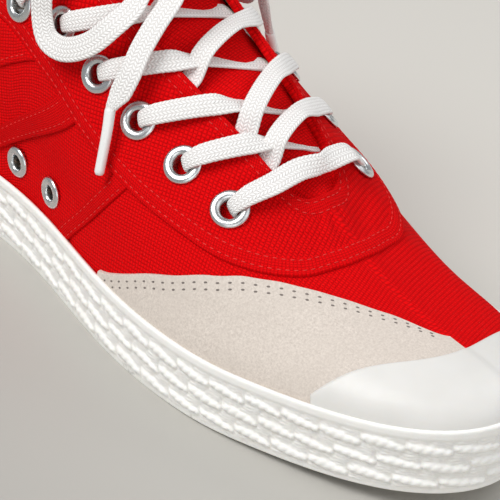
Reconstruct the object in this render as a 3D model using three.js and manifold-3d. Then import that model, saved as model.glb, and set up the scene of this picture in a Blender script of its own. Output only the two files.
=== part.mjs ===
// Low canvas sneaker, left shoe. Millimetres, +X to the toe, +Y to the outer side, +Z up.
import * as THREE from 'three';
import Module from 'manifold-3d';

const wasm = await Module();
wasm.setup();

// Driving sizes
const LENGTH = 288; // feather line, heel to toe
const BALL = 96.5; // breadth that the table's breadth shares are taken from
const SEAT = 12; // feather line above the floor
const SPRING = 8; // rise of the toe
const SPRING_START = 185; // where the sole leaves the floor
const WALL = 1.8; // canvas and lining together
const BAND_HEIGHT = 21.3; // side band, floor to lip
const GAP = 0.3; // between pieces that touch
const LAYER_GAP = 0.4; // between a curved piece and the one laid on it
const LAYER = 1.2; // an overlay's own thickness
const CENTRE = { x: 144.0, y: 0.2 }; // middle of the finished shoe, which becomes the origin

// The last, a row for each rib from the heel round to the toe. Foot and rim places are shares of
// LENGTH and BALL, med and lat are the inner and outer foot line, rimZ is in mm. wall and top are the
// shares of the rib that rise straight from the foot and leave straight from the rim, at the angles
// lean (outwards from upright) and slope (below level), in degrees.
const RIB_TABLE = {
  columns: ['medX', 'medY', 'latX', 'latY', 'rimX', 'rimY', 'rimZ', 'wall', 'lean', 'top', 'slope'],
  heelBack: [0.0, 0.0, 0.0, 0.0, 0.034, 0.0, 76, 0.42, 9, 0.35, 82],
  heelCorner: [0.039, 0.215, 0.039, 0.225, 0.063, 0.16, 74, 0.42, 9, 0.35, 82],
  heelSide: [0.127, 0.335, 0.127, 0.35, 0.136, 0.255, 67, 0.42, 6, 0.3, 78],
  rearWaist: [0.253, 0.345, 0.263, 0.385, 0.229, 0.27, 70, 0.45, 4, 0.3, 74],
  waist: [0.38, 0.329, 0.39, 0.425, 0.372, 0.222, 95, 0.48, 2, 0.33, 72],
  foreWaist: [0.497, 0.38, 0.516, 0.455, 0.471, 0.208, 88.6, 0.41, 4, 0.36, 60],
  ball: [0.614, 0.457, 0.633, 0.48, 0.569, 0.183, 76.1, 0.39, 5, 0.38, 50],
  forefoot: [0.731, 0.475, 0.75, 0.41, 0.657, 0.155, 65.6, 0.37, 6, 0.4, 42],
  toeSide: [0.823, 0.426, 0.857, 0.335, 0.71, 0.12, 57, 0.34, 8, 0.46, 38],
  toeCorner: [0.941, 0.304, 0.945, 0.235, 0.731, 0.07, 53.8, 0.32, 12, 0.58, 35],
  toeTip: [1.0, 0.058, 1.0, -0.058, 0.7364, 0.0, 54.4, 0.32, 14, 0.62, 34],
};

const STATIONS = 54; // steps round the shoe
const ROWS = 9; // steps up the outside of the upper
const LINING_ROWS = 4; // steps down its inside

const point = (x, y, z) => new THREE.Vector3(x, y, z);
const clamp = THREE.MathUtils.clamp;
const radians = THREE.MathUtils.degToRad;

// Turns the table into a closed loop of rows: inner side from heel to toe, then outer side back.
function ribLoop() {
  const rows = Object.entries(RIB_TABLE).filter(([name]) => name !== 'columns').map(([, row]) => row);
  const read = (row) => Object.fromEntries(RIB_TABLE.columns.map((name, k) => [name, row[k]]));
  const medial = rows.map(read).map((r) => ({ ...r, footX: r.medX, footY: -r.medY, rimY: -r.rimY }));
  const lateral = rows.slice(1, -1).reverse().map(read)
    .map((r) => ({ ...r, footX: r.latX, footY: r.latY }));
  return [...medial, ...lateral];
}

// Control values of a closed cubic spline that passes through the given values.
function loopSpline(values) {
  const n = values.length;
  let control = [...values];
  for (let round = 0; round < 60; round += 1) {
    control = control.map((c, i) => {
      const now = (control[(i + n - 1) % n] + 4 * c + control[(i + 1) % n]) / 6;
      return c + values[i] - now;
    });
  }
  return (t) => {
    const u = t * n;
    const i = Math.floor(u);
    const f = u - i;
    const weights = [(1 - f) ** 3, 3 * f ** 3 - 6 * f ** 2 + 4, -3 * f ** 3 + 3 * f ** 2 + 3 * f + 1, f ** 3];
    return weights.reduce((sum, w, k) => sum + (w * control[(((i + k - 1) % n) + n) % n]) / 6, 0);
  };
}

const RIBS = ribLoop();
const column = (name) => loopSpline(RIBS.map((rib) => rib[name]));
const shape = Object.fromEntries(
  ['footX', 'footY', 'rimX', 'rimY', 'rimZ', 'wall', 'lean', 'top', 'slope'].map((name) => [name, column(name)]),
);

// How far the sole has left the floor at a place along the shoe.
function lift(x) {
  return SPRING * clamp((x - SPRING_START) / (LENGTH - SPRING_START), 0, 1.1) ** 2.2;
}

function foot(t) {
  const x = shape.footX(t) * LENGTH;
  return point(x, shape.footY(t) * BALL, SEAT + lift(x));
}

function rim(t) {
  return point(shape.rimX(t) * LENGTH, shape.rimY(t) * BALL, shape.rimZ(t));
}

// Level direction out of the shoe, square to the foot line.
function outward(t) {
  const step = foot(t + 1e-3).sub(foot(t - 1e-3));
  return point(step.y, -step.x, 0).normalize();
}

const ribCurves = new Map();
function ribCurve(t) {
  const key = t.toFixed(7);
  if (!ribCurves.has(key)) {
    const low = foot(t);
    const high = rim(t);
    const span = low.distanceTo(high);
    const level = point(low.x - high.x, low.y - high.y, 0).normalize();
    const lean = radians(shape.lean(t));
    const slope = radians(shape.slope(t));
    const rise = low.clone().addScaledVector(outward(t), Math.sin(lean) * shape.wall(t) * span);
    rise.z += Math.cos(lean) * shape.wall(t) * span;
    const leave = high.clone().addScaledVector(level, Math.cos(slope) * shape.top(t) * span);
    leave.z -= Math.sin(slope) * shape.top(t) * span;
    ribCurves.set(key, new THREE.CubicBezierCurve3(low, rise, leave, high));
  }
  return ribCurves.get(key);
}

// A point of the upper's outside: t goes round the shoe, s goes from the foot line to the rim.
const onLast = (t, s) => ribCurve(t).getPoint(s);

function normal(t, s) {
  const round = onLast(t + 1e-3, s).sub(onLast(t - 1e-3, s));
  const up = ribCurve(t).getTangent(s);
  return up.cross(round).normalize().negate();
}

// A point off the upper's outside: positive is outwards.
const skin = (t, s, off) => onLast(t, s).addScaledVector(normal(t, s), off);

// s at a distance along the rib from its foot or its rim, and at a height above the floor line.
function sFromFoot(t, distance) {
  let gone = 0;
  for (let k = 0; k < 60; k += 1) {
    gone += onLast(t, k / 60).distanceTo(onLast(t, (k + 1) / 60));
    if (gone >= distance) return (k + 1) / 60 - ((gone - distance) / 80);
  }
  return 1;
}

function sFromRim(t, distance) {
  const whole = ribCurve(t).getLength();
  return distance <= 0 ? 1 : sFromFoot(t, Math.max(whole - distance, 0));
}

function sAtHeight(t, height) {
  let low = 0;
  let high = 0.8;
  for (let k = 0; k < 24; k += 1) {
    const middle = (low + high) / 2;
    if (onLast(t, middle).z < height) low = middle;
    else high = middle;
  }
  return low;
}

// Closed solid from a list of rings of points. Rings that close on themselves make a loop, others get
// their two ends filled: a ring's second half lies opposite its first, point for point.
// Points that fall together are merged, and faces that this empties are dropped.
function solidFromRings(rings, isLoop) {
  const places = [];
  const known = new Map();
  const index = rings.map((ring) => ring.map((p) => {
    const key = `${Math.round(p.x * 2000)},${Math.round(p.y * 2000)},${Math.round(p.z * 2000)}`;
    if (!known.has(key)) {
      known.set(key, places.length);
      places.push(p);
    }
    return known.get(key);
  }));
  const faces = [];
  const face = (a, b, c) => {
    if (a !== b && b !== c && c !== a) faces.push(a, b, c);
  };
  const quad = (a, b, c, d) => {
    face(a, b, c);
    face(a, c, d);
  };
  const count = index[0].length;
  const last = isLoop ? index.length : index.length - 1;
  for (let i = 0; i < last; i += 1) {
    const here = index[i];
    const next = index[(i + 1) % index.length];
    for (let k = 0; k < count; k += 1) {
      const up = (k + 1) % count;
      quad(here[k], next[k], next[up], here[up]);
    }
  }
  if (!isLoop) {
    for (let k = 0; k < count / 2 - 1; k += 1) {
      const first = index[0];
      const end = index[index.length - 1];
      quad(first[k], first[k + 1], first[count - 2 - k], first[count - 1 - k]);
      quad(end[count - 1 - k], end[count - 2 - k], end[k + 1], end[k]);
    }
  }
  return facesOut(places, faces);
}

// Geometry with its faces turned outwards, which its signed volume tells.
function facesOut(places, faces) {
  let volume = 0;
  for (let k = 0; k < faces.length; k += 3) {
    const [a, b, c] = [places[faces[k]], places[faces[k + 1]], places[faces[k + 2]]];
    volume += a.dot(b.clone().cross(c));
  }
  if (volume < 0) faces.reverse();
  const geometry = new THREE.BufferGeometry();
  geometry.setAttribute('position', new THREE.Float32BufferAttribute(places.flatMap((p) => p.toArray()), 3));
  geometry.setIndex(faces);
  return geometry;
}

function toSolid(geometry) {
  return new wasm.Manifold(new wasm.Mesh({
    numProp: 3,
    vertProperties: new Float32Array(geometry.attributes.position.array),
    triVerts: new Uint32Array(geometry.index.array),
  }));
}

function fromSolid(solid) {
  const mesh = solid.getMesh();
  const geometry = new THREE.BufferGeometry();
  geometry.setAttribute('position', new THREE.BufferAttribute(new Float32Array(mesh.vertProperties), 3));
  geometry.setIndex(new THREE.BufferAttribute(new Uint32Array(mesh.triVerts), 1));
  return geometry;
}

const steps = (count) => Array.from({ length: count + 1 }, (_, k) => k / count);
const stations = steps(STATIONS).slice(0, -1);

// Upper: one hollow wall, open at the collar, the throat and underneath.
function makeUpper() {
  const rings = stations.map((t) => [
    ...steps(ROWS).map((s) => onLast(t, s)),
    ...steps(LINING_ROWS).reverse().map((s) => skin(t, s, -WALL)),
  ]);
  return solidFromRings(rings, true);
}

// Side band: the strip round sole and upper, with a chamfer, four rope rows and a lip.
const BAND = { foot: 3.4, valley: 3.7, crest: 4.7, lip: 4.5, lipHeight: 3.6, top: 3.2, ropes: 4, chamfer: 1.2 };

function bandProfile() {
  const profile = [[0, BAND.foot]];
  const pitch = (BAND_HEIGHT - BAND.lipHeight - BAND.chamfer) / BAND.ropes;
  for (let k = 0; k < BAND.ropes; k += 1) {
    const valley = BAND.chamfer + k * pitch;
    profile.push([valley, BAND.valley], [valley + pitch / 2, BAND.crest]);
  }
  const lip = BAND_HEIGHT - BAND.lipHeight;
  profile.push([lip, BAND.valley], [lip + 0.5, BAND.lip], [BAND_HEIGHT - 0.7, BAND.lip], [BAND_HEIGHT, BAND.top]);
  return profile;
}

function makeSideBand() {
  const profile = bandProfile();
  const rings = stations.map((t) => {
    const base = foot(t);
    const out = outward(t);
    const floor = base.z - SEAT;
    const outer = profile.map(([height, off]) => {
      const p = base.clone().addScaledVector(out, off);
      p.z = floor + height;
      return p;
    });
    const inside = (height, off) => {
      const p = base.clone().addScaledVector(out, off);
      p.z = floor + height;
      return p;
    };
    const beside = (height) => {
      const p = onLast(t, sAtHeight(t, floor + height));
      return Math.max(p.sub(base).dot(out), 0) + LAYER_GAP;
    };
    const head = BAND_HEIGHT;
    const half = (SEAT + BAND_HEIGHT) / 2;
    return [
      ...outer, inside(head, beside(head)), inside(half, beside(half)), inside(SEAT, LAYER_GAP), inside(0, LAYER_GAP),
    ];
  });
  return solidFromRings(rings, true);
}

// Outsole: a slab inside the band, its tread cut into lugs at heel and forefoot.
const TREAD = { groove: 2.4, depth: 1.8, heel: [18, 84], forefoot: [122, 262], pitch: 11, waistRelief: 1.0 };
const SLICES = STATIONS / 2;
const ACROSS = { outsole: 3, insole: 2 };
const BLUNT = 3; // breadth of a slab's first and last slice

// Level slab under the foot, inset from the foot line, between two heights above the lifted floor.
function makeSlab(inset, low, high, count) {
  const rings = [];
  for (let j = 1; j < SLICES; j += 1) {
    const t = j / STATIONS;
    const near = foot(t).addScaledVector(outward(t), -inset);
    const far = foot(1 - t).addScaledVector(outward(1 - t), -inset);
    const across = steps(count).map((f) => near.clone().lerp(far, f));
    const at = (p, height) => point(p.x, p.y, lift(p.x) + height);
    rings.push([...across.map((p) => at(p, high)), ...[...across].reverse().map((p) => at(p, low))]);
  }
  const end = (t) => {
    const p = foot(t).addScaledVector(outward(t), -inset);
    const across = steps(count).map((f) => point(p.x, p.y + (f - 0.5) * BLUNT, 0));
    return [
      ...across.map((q) => point(q.x, q.y, lift(q.x) + high)),
      ...[...across].reverse().map((q) => point(q.x, q.y, lift(q.x) + low)),
    ];
  };
  rings.unshift(end(0));
  rings.push(end(0.5));
  return solidFromRings(rings, false);
}

function grooves() {
  const bars = [];
  [TREAD.heel, TREAD.forefoot].forEach(([from, to]) => {
    for (let x = from; x <= to; x += TREAD.pitch) {
      bars.push({ x, long: TREAD.groove });
    }
  });
  return bars.map(({ x, long }) => {
    const bar = new THREE.BoxGeometry(long, BALL + 20, TREAD.depth * 2);
    return mergedSolid(bar, point(x, 0, lift(x)));
  });
}

// A box or ball geometry as a solid, with the corners of its faces merged.
function mergedSolid(geometry, place) {
  const corners = [];
  const known = new Map();
  const position = geometry.attributes.position;
  const index = [...geometry.index.array].map((k) => {
    const p = point(position.getX(k), position.getY(k), position.getZ(k));
    const key = p.toArray().map((v) => Math.round(v * 2000)).join();
    if (!known.has(key)) {
      known.set(key, corners.length);
      corners.push(p.add(place));
    }
    return known.get(key);
  });
  return toSolid(facesOut(corners, index));
}

function makeOutsole() {
  let sole = toSolid(makeSlab(GAP, 0, SEAT - GAP, ACROSS.outsole));
  grooves().forEach((bar) => {
    sole = sole.subtract(bar);
  });
  const waist = new THREE.BoxGeometry(
    TREAD.forefoot[0] - TREAD.heel[1] - TREAD.pitch,
    BALL * 0.55,
    TREAD.waistRelief * 2,
  );
  const middle = (TREAD.forefoot[0] + TREAD.heel[1]) / 2;
  return fromSolid(sole.subtract(mergedSolid(waist, point(middle, 0, 0))));
}

// Insole: a thin bed inside the upper, on the outsole.
const INSOLE = { thick: 4, inset: WALL + 1.1 };
const makeInsole = () => makeSlab(INSOLE.inset, SEAT, SEAT + INSOLE.thick, ACROSS.insole);

// Tongue: a curved sheet under the throat. Each slice runs from under one eyestay to the other, and the
// last ones stand clear above the throat by the table's steps back, up and to each side.
const TONGUE = { thick: 3, tuck: 11, sink: WALL + 1.2, crown: 1.5, front: 0.455, back: 0.205, slices: 11 };
const TONGUE_TOP = [
  { back: 6, up: 7, spread: -5 },
  { back: 11, up: 14, spread: -4 },
  { back: 14.5, up: 20, spread: -1 },
  { back: 16, up: 23, spread: -5 },
];

function tongueLine(t, sink) {
  const side = (q) => [TONGUE.tuck, TONGUE.tuck / 2, 0].map((d) => skin(q, sFromRim(q, d), -sink));
  const near = side(t);
  const far = side(1 - t).reverse();
  const middle = near[2].clone().add(far[0]).multiplyScalar(0.5);
  middle.z += TONGUE.crown;
  return new THREE.CatmullRomCurve3([...near, middle, ...far]).getPoints(7);
}

function makeTongue() {
  const rings = [];
  let top;
  let bottom;
  for (let k = 0; k <= TONGUE.slices; k += 1) {
    const t = THREE.MathUtils.lerp(TONGUE.front, TONGUE.back, k / TONGUE.slices);
    top = tongueLine(t, TONGUE.sink);
    bottom = tongueLine(t, TONGUE.sink + TONGUE.thick);
    rings.push([...top, ...[...bottom].reverse()]);
  }
  TONGUE_TOP.forEach(({ back, up, spread }) => {
    const move = (p) => point(p.x - back, p.y + (Math.sign(p.y) * spread * Math.abs(p.y)) / 30, p.z + up);
    rings.push([...top.map(move), ...bottom.map(move).reverse()]);
  });
  return solidFromRings(rings, false);
}

// Overlays lie on the upper: a patch of the last between two station limits and two edges, each edge a
// function that gives s at a station. Its rows and stations are the upper's own, cut off at the edges,
// so the gap to the upper stays even.
const OVER = { inner: LAYER_GAP, outer: LAYER_GAP + LAYER };

function patch({ from, to, low, high, inner = OVER.inner, outer = OVER.outer }) {
  const first = Math.floor(from * STATIONS) + 1;
  const places = [from];
  for (let k = first; k / STATIONS < to - 1e-4; k += 1) {
    if (k / STATIONS > from + 1e-4) places.push(k / STATIONS);
  }
  places.push(to);
  const rings = places.map((t) => {
    const bottom = low(t);
    const top = Math.max(high(t), bottom);
    const rows = steps(ROWS).map((s) => clamp(s, bottom, top));
    return [...rows.map((s) => skin(t, s, outer)), ...rows.reverse().map((s) => skin(t, s, inner))];
  });
  return solidFromRings(rings, false);
}

// Straight-line lookup in a short table of [place, value] rows.
function lookUp(rows, place) {
  const k = clamp(rows.findIndex(([at]) => at >= place), 1, rows.length - 1);
  const [a, b] = [rows[k - 1], rows[k]];
  return THREE.MathUtils.lerp(a[1], b[1], clamp((place - a[0]) / (b[0] - a[0]), 0, 1));
}

const bandTop = (t) => sAtHeight(t, foot(t).z - SEAT + BAND_HEIGHT + LAYER_GAP);

// Toe cap: its rear edge is an arch, highest a little to the inner side of the toe.
const CAP = { middle: 0.49, reach: 31.8, spread: 0.077, from: 0.419, to: 0.561, thick: 2.2 };
const capEdge = (t) => sFromFoot(t, CAP.reach - 25 * ((t - CAP.middle) / CAP.spread) ** 2);

// Toe guard on the inner side, up to this height above the floor, as far as the toe cap.
const GUARD = { from: 0.286, to: 0.506 };
const GUARD_TOP = [
  [0.286, 21.8], [0.3, 26.5], [0.316, 32.4], [0.345, 39.3], [0.371, 42], [0.4, 42.2], [0.428, 41.5],
  [0.459, 40.3], [0.487, 38.9], [0.506, 36.6],
];

function guardEdge(t) {
  return sAtHeight(t, lookUp(GUARD_TOP, t));
}

function guardFoot(t) {
  const capped = t > CAP.from && t < CAP.to ? capEdge(t) + 0.008 : 0;
  return Math.max(bandTop(t), capped);
}

// Eyestay: its breadth in mm along the ribs, by how far round the shoe from the toe.
const STAY_BREADTH = [
  [0, 19], [0.05, 19.5], [0.1, 25], [0.15, 33], [0.2, 36], [0.25, 37], [0.29, 35], [0.315, 21], [0.335, 8],
];
const STAY_END = 0.335;
const stayEdge = (t) => sFromRim(t, lookUp(STAY_BREADTH, Math.abs(t - 0.5)));

// Slanting strips on the side: leading edge at station start + slant * s.
const SEAM = { start: 0.2485, slant: 0.0845, breadth: 0.0099 };
const STRIP_GAP = 0.6; // a slanting strip crosses the upper's steps
const STRAP = { start: 0.1655, slant: 0.1555, breadth: 0.017 };

function strip({ start, slant, breadth }, side) {
  const mirror = (t) => (side < 0 ? t : 1 - t);
  const low = (t) => Math.max((mirror(t) - start) / slant, bandTop(t));
  const high = (t) => Math.min((mirror(t) - start + breadth) / slant, stayEdge(t) - 0.006);
  const places = steps(400).map((f) => start - breadth + f * (slant + breadth));
  const held = places.filter((q) => high(mirror(q)) > low(mirror(q)) + 0.002);
  const ends = [mirror(held[0]), mirror(held[held.length - 1])].sort((a, b) => a - b);
  return patch({ from: ends[0], to: ends[1], low, high, inner: STRIP_GAP, outer: STRIP_GAP + LAYER });
}

// Ankle panel: from the heel strip to the eyestay, its lower edge level round the heel and then rising.
const HEEL_STRIP = 0.018;
const BINDING = { drop: 6, rise: 0.9, thick: 1.0 };
const PANEL_EDGE = [[0, 0.42], [0.1, 0.38], [0.15, 0.36], [0.175, 0.41], [0.203, 0.52], [0.215, 0.58]];
const PANEL_FRONT = 0.21;

function anklePanel(side) {
  const mirror = (t) => (side < 0 ? t : 1 - t);
  const top = (t) => sFromRim(t, BINDING.drop + 0.6);
  const low = (t) => lookUp(PANEL_EDGE, mirror(t));
  const high = (t) => Math.max(low(t), Math.min(top(t), mirror(t) > 0.5 - STAY_END - 0.012 ? stayEdge(t) - 0.012 : 1));
  const ends = [mirror(HEEL_STRIP + 0.004), mirror(PANEL_FRONT)].sort((a, b) => a - b);
  return patch({ from: ends[0], to: ends[1], low, high });
}

function makeHeelStrip() {
  const high = (t) => sFromRim(t, BINDING.drop + 0.6);
  return patch({ from: -HEEL_STRIP, to: HEEL_STRIP, low: bandTop, high });
}

// Collar binding: a strip folded over the collar, from one eyestay round the heel to the other.
function makeBinding() {
  const end = 0.5 - STAY_END - 0.004;
  const places = [];
  for (let k = Math.ceil(-end * STATIONS); k <= end * STATIONS; k += 1) places.push(k / STATIONS);
  if (places[0] > -end) places.unshift(-end);
  if (places[places.length - 1] < end) places.push(end);
  const { drop, rise, thick } = BINDING;
  const legOut = [LAYER_GAP, LAYER_GAP + thick];
  const legIn = [-WALL - LAYER_GAP, -WALL - LAYER_GAP - thick];
  const rings = places.map((t) => {
    const up = ribCurve(t).getTangent(1);
    const low = sFromRim(t, drop);
    const mid = sFromRim(t, drop / 2);
    const over = (off, height) => skin(t, 1, off).addScaledVector(up, height);
    return [
      skin(t, low, legOut[1]), skin(t, mid, legOut[1]), over(legOut[1], LAYER_GAP), over(-WALL / 2, rise + thick),
      over(legIn[1], LAYER_GAP), skin(t, low, legIn[1]),
      skin(t, low, legIn[0]), over(legIn[0], LAYER_GAP), over(-WALL / 2, LAYER_GAP + 0.2),
      over(legOut[0], LAYER_GAP), skin(t, mid, legOut[0]), skin(t, low, legOut[0]),
    ];
  });
  return solidFromRings(rings, false);
}

// Eyelets: six pairs for the lace, set back from the throat, and two vents low on the inner side.
const EYELET = { pairs: 6, first: 0.352, setback: 17.8, spacing: 19.3, flange: 5.8, hole: 2.9, sides: 8 };
const VENT = { flange: 4.75, hole: 2.2, height: 28.6, stations: [0.208, 0.2365] };
const BARREL = 0.5; // wall of an eyelet's barrel

function eyeletPlaces() {
  const places = [];
  let t = EYELET.first;
  const at = (q) => onLast(q, sFromRim(q, EYELET.setback));
  for (let k = 0; k < EYELET.pairs; k += 1) {
    places.push({ t, s: sFromRim(t, EYELET.setback) });
    const here = at(t);
    while (at(t).distanceTo(here) < EYELET.spacing) t -= 0.0004;
  }
  return places;
}

const EYELETS = eyeletPlaces();
const VENTS = VENT.stations.map((t) => ({ t, s: sAtHeight(t, VENT.height) }));

// Turns a geometry made about +Y so that it stands on the last there, off outwards.
function seat(geometry, { t, s }, off) {
  const turn = new THREE.Quaternion().setFromUnitVectors(point(0, 1, 0), normal(t, s));
  return geometry.applyQuaternion(turn).translate(...skin(t, s, off).toArray());
}

// A ring with a barrel through the cloth and a rolled flange on its face.
function eyelet({ flange, hole }, place, face) {
  const barrel = hole + BARREL;
  const back = -WALL - 0.6 - face;
  const profile = [
    [hole, back], [barrel, back], [barrel, 0], [flange, 0], [flange - 0.6, 1.1], [hole + 0.5, 1.0], [hole, 0.5],
  ];
  const rings = steps(EYELET.sides).slice(0, -1).map((f) => {
    const angle = f * 2 * Math.PI;
    return profile.map(([r, h]) => point(r * Math.cos(angle), h, r * Math.sin(angle)));
  });
  return seat(solidFromRings(rings, true), place, face);
}

function punch(geometry, hole, places) {
  let solid = toSolid(geometry);
  places.forEach((place) => {
    const rings = [-8, 6].map((height) => steps(EYELET.sides).slice(0, -1).map((f) => {
      const angle = f * 2 * Math.PI;
      const r = hole + BARREL + GAP + 0.1;
      return point(r * Math.cos(angle), height, r * Math.sin(angle));
    }));
    solid = solid.subtract(toSolid(seat(prism(rings), place, 0)));
  });
  return fromSolid(solid);
}

// Two rings of points joined by a wall, each filled from its own middle.
function prism([low, high]) {
  const middle = (ring) => ring.reduce((sum, p) => sum.add(p), point(0, 0, 0)).divideScalar(ring.length);
  const n = low.length;
  const places = [...low, ...high, middle(low), middle(high)];
  const faces = [];
  for (let k = 0; k < n; k += 1) {
    const next = (k + 1) % n;
    faces.push(k, next, n + next, k, n + next, n + k);
    faces.push(next, k, 2 * n, n + k, n + next, 2 * n + 1);
  }
  return facesOut(places, faces);
}

const bothSides = (places) => [...places, ...places.map(({ t, s }) => ({ t: 1 - t, s: sFromRim(1 - t, EYELET.setback) }))];
const LACE_EYELETS = bothSides(EYELETS);

// Flat lace along a list of places, each with the direction that its face looks.
const LACE = { width: 7.3, thick: 1.2 };

function lace(places, faces, count) {
  const line = new THREE.CatmullRomCurve3(places, false, 'centripetal');
  const rings = steps(count).map((part) => {
    const f = line.getUtoTmapping(part);
    const here = line.getPoint(f);
    const along = line.getTangent(f);
    const u = f * (faces.length - 1);
    const k = Math.min(Math.floor(u), faces.length - 2);
    const up = faces[k].clone().lerp(faces[k + 1], u - k);
    const across = along.clone().cross(up).normalize();
    const face = across.clone().cross(along).normalize();
    const corner = (a, b) => here.clone()
      .addScaledVector(across, (a * LACE.width) / 2).addScaledVector(face, (b * LACE.thick) / 2);
    return [corner(-1, 1), corner(1, 1), corner(1, -1), corner(-1, -1)];
  });
  return solidFromRings(rings, false);
}

// One strand of a crossing: off the eyelet's flange, over its own edge of the throat one eyelet nearer
// the toe, and down to the far edge, still nearer the toe.
const STRAND = {
  start: OVER.outer + 2.5, over: OVER.outer + 3, own: 0.03, across: 0.052, crown: 3.2, tuck: 1.6, end: 0.2,
};
const UP = point(0, 0, 1);

// A strand's place and face over its eyelet.
function overEyelet(side, k) {
  const t = side < 0 ? EYELETS[k].t : 1 - EYELETS[k].t;
  const s = sFromRim(t, EYELET.setback);
  return { place: skin(t, s, STRAND.start), face: normal(t, s) };
}

function strand(side, k) {
  const mirror = (t) => (side < 0 ? t : 1 - t);
  const start = overEyelet(side, k);
  const own = mirror(EYELETS[k].t + STRAND.own);
  const near = skin(own, 1, STRAND.over);
  const end = onLast(1 - mirror(EYELETS[k].t + STRAND.across), 1).lerp(onLast(own, 1), STRAND.end);
  end.z += STRAND.tuck;
  const middle = near.clone().lerp(end, 0.5);
  middle.z += STRAND.crown;
  return lace([start.place, near, middle, end], [start.face, normal(own, 1), UP, UP], 6);
}

const join = (pieces) => fromSolid(pieces.map(toSolid).reduce((whole, piece) => whole.add(piece)));
const makeCrossing = (k) => join([strand(-1, k), strand(1, k)]);

// The lowest bar lies straight across from one front eyelet to the other.
const BAR = { x: 203.3, side: 15.5, z: 63.5, middle: 63.9 };

function makeBar() {
  const [medial, lateral] = [overEyelet(-1, 0), overEyelet(1, 0)];
  const places = [
    medial.place, point(BAR.x, -BAR.side, BAR.z), point(BAR.x, 0, BAR.middle), point(BAR.x, BAR.side, BAR.z),
    lateral.place,
  ];
  return lace(places, [medial.face, UP, UP, UP, lateral.face], 8);
}

// The top strands rise from the last eyelets and meet on the tongue, under the knot.
const KNOT = { x: 115, z: 107, long: 12, wide: 12, high: 8.5 };
const MEET = { forward: 0.017, lift: 1, x: 113, z: 99.8, face: point(0.45, 0, 0.9) };

function topStrand(side) {
  const last = EYELETS.length - 1;
  const start = overEyelet(side, last);
  const own = EYELETS[last].t + MEET.forward;
  const edge = side < 0 ? own : 1 - own;
  const places = [start.place, skin(edge, 1, STRAND.over + MEET.lift), point(MEET.x, -side, MEET.z)];
  return lace(places, [start.face, normal(edge, 1), MEET.face], 5);
}

const makeTopStrands = () => join([topStrand(-1), topStrand(1)]);

function makeKnot() {
  const ball = new THREE.SphereGeometry(0.5, 10, 6).scale(KNOT.long, KNOT.wide, KNOT.high);
  return fromSolid(mergedSolid(ball, point(KNOT.x, 0, KNOT.z)));
}

// Bow: two loops and two ends, each along places chosen by hand, with the faces' directions.
const NEAR_FACE = point(0.2, -0.88, 0.44);
const FAR_FACE = point(0.2, 0.88, 0.44);
const NEAR_LOOP = [
  [112.5, -7, 109], [114.5, -17, 108.6], [118, -27.5, 101], [120.6, -32.2, 90], [122.3, -33.2, 81.5],
  [125.7, -34, 76.8], [131, -34.2, 76], [136.3, -33.5, 77.6], [141.4, -31.2, 81.2], [145.4, -27.4, 87],
  [146.8, -19.5, 93.8], [141, -13.5, 100], [131, -11.5, 104], [123.2, -10.2, 104.8], [118.6, -7.3, 104.9],
];
const FAR_LOOP = [
  [112.5, 7, 109], [113, 17, 108], [115, 28, 100.5], [117.5, 33.5, 90], [119, 34.6, 81.5], [123, 35.4, 75.5],
  [129, 35.6, 73.8], [134.5, 35.2, 75], [139, 33.2, 79], [142.5, 29.6, 85.5], [143, 22.5, 93], [137.5, 14.5, 99.5],
  [129.5, 11.8, 103.5], [123.2, 10.2, 104.8], [118.6, 7.3, 104.9],
];
const NEAR_END = [
  [121.8, -0.6, 107.4], [130, 0.8, 110], [140, -0.4, 109.6], [149, -5.6, 104.2], [154.4, -13, 96.6],
  [155.4, -20, 90], [156, -25.2, 84], [156.8, -29, 78.4], [156.2, -31.6, 72.8], [155.2, -33.4, 68.6],
];
const NEAR_TIP = [[155.1, -34.2, 67.6], [157, -36.6, 61.3], [159.3, -40.6, 49.8]];
const FAR_END = [
  [115.5, 2.6, 112.6], [123.5, 10.5, 113.8], [132.5, 18, 107], [137.5, 24.5, 98], [141, 31, 88.5], [143.5, 35.4, 77],
  [145, 37.6, 66.5],
];
const FAR_TIP = [[145.1, 38.1, 65.9], [146.2, 40.9, 56.5], [147, 43.8, 45.5]];
const TIP = { across: 3.2, sides: 6, steps: 3 };
const LOOP_STEPS = 20;
const END_STEPS = 14;
const places = (rows) => rows.map((row) => point(...row));

function makeLoop(rows, side) {
  const out = side < 0 ? NEAR_FACE : FAR_FACE;
  return lace(places(rows), [UP, out, out, out, out, UP], LOOP_STEPS);
}

function makeEnd(rows, side) {
  const out = side < 0 ? NEAR_FACE : FAR_FACE;
  return lace(places(rows), [UP, UP, out, out], END_STEPS);
}

// A lace tip: a round rod along its places.
function makeTip(rows) {
  const line = new THREE.CatmullRomCurve3(places(rows));
  const frames = line.computeFrenetFrames(TIP.steps, false);
  const rings = steps(TIP.steps).map((f, k) => steps(TIP.sides).slice(0, -1).map((part) => {
    const angle = part * 2 * Math.PI;
    return line.getPointAt(f)
      .addScaledVector(frames.normals[k], (Math.cos(angle) * TIP.across) / 2)
      .addScaledVector(frames.binormals[k], (Math.sin(angle) * TIP.across) / 2);
  }));
  return solidFromRings(rings, false);
}

function mesh(name, geometry, colour, roughness, metalness = 0) {
  const piece = new THREE.Mesh(geometry, new THREE.MeshStandardMaterial({ color: colour, roughness, metalness }));
  piece.name = name;
  return piece;
}

const RED = '#b80f18';
const WHITE = '#eceae4';
const STEEL = '#b9babc';
const COTTON = '#f2f1ee';

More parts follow.
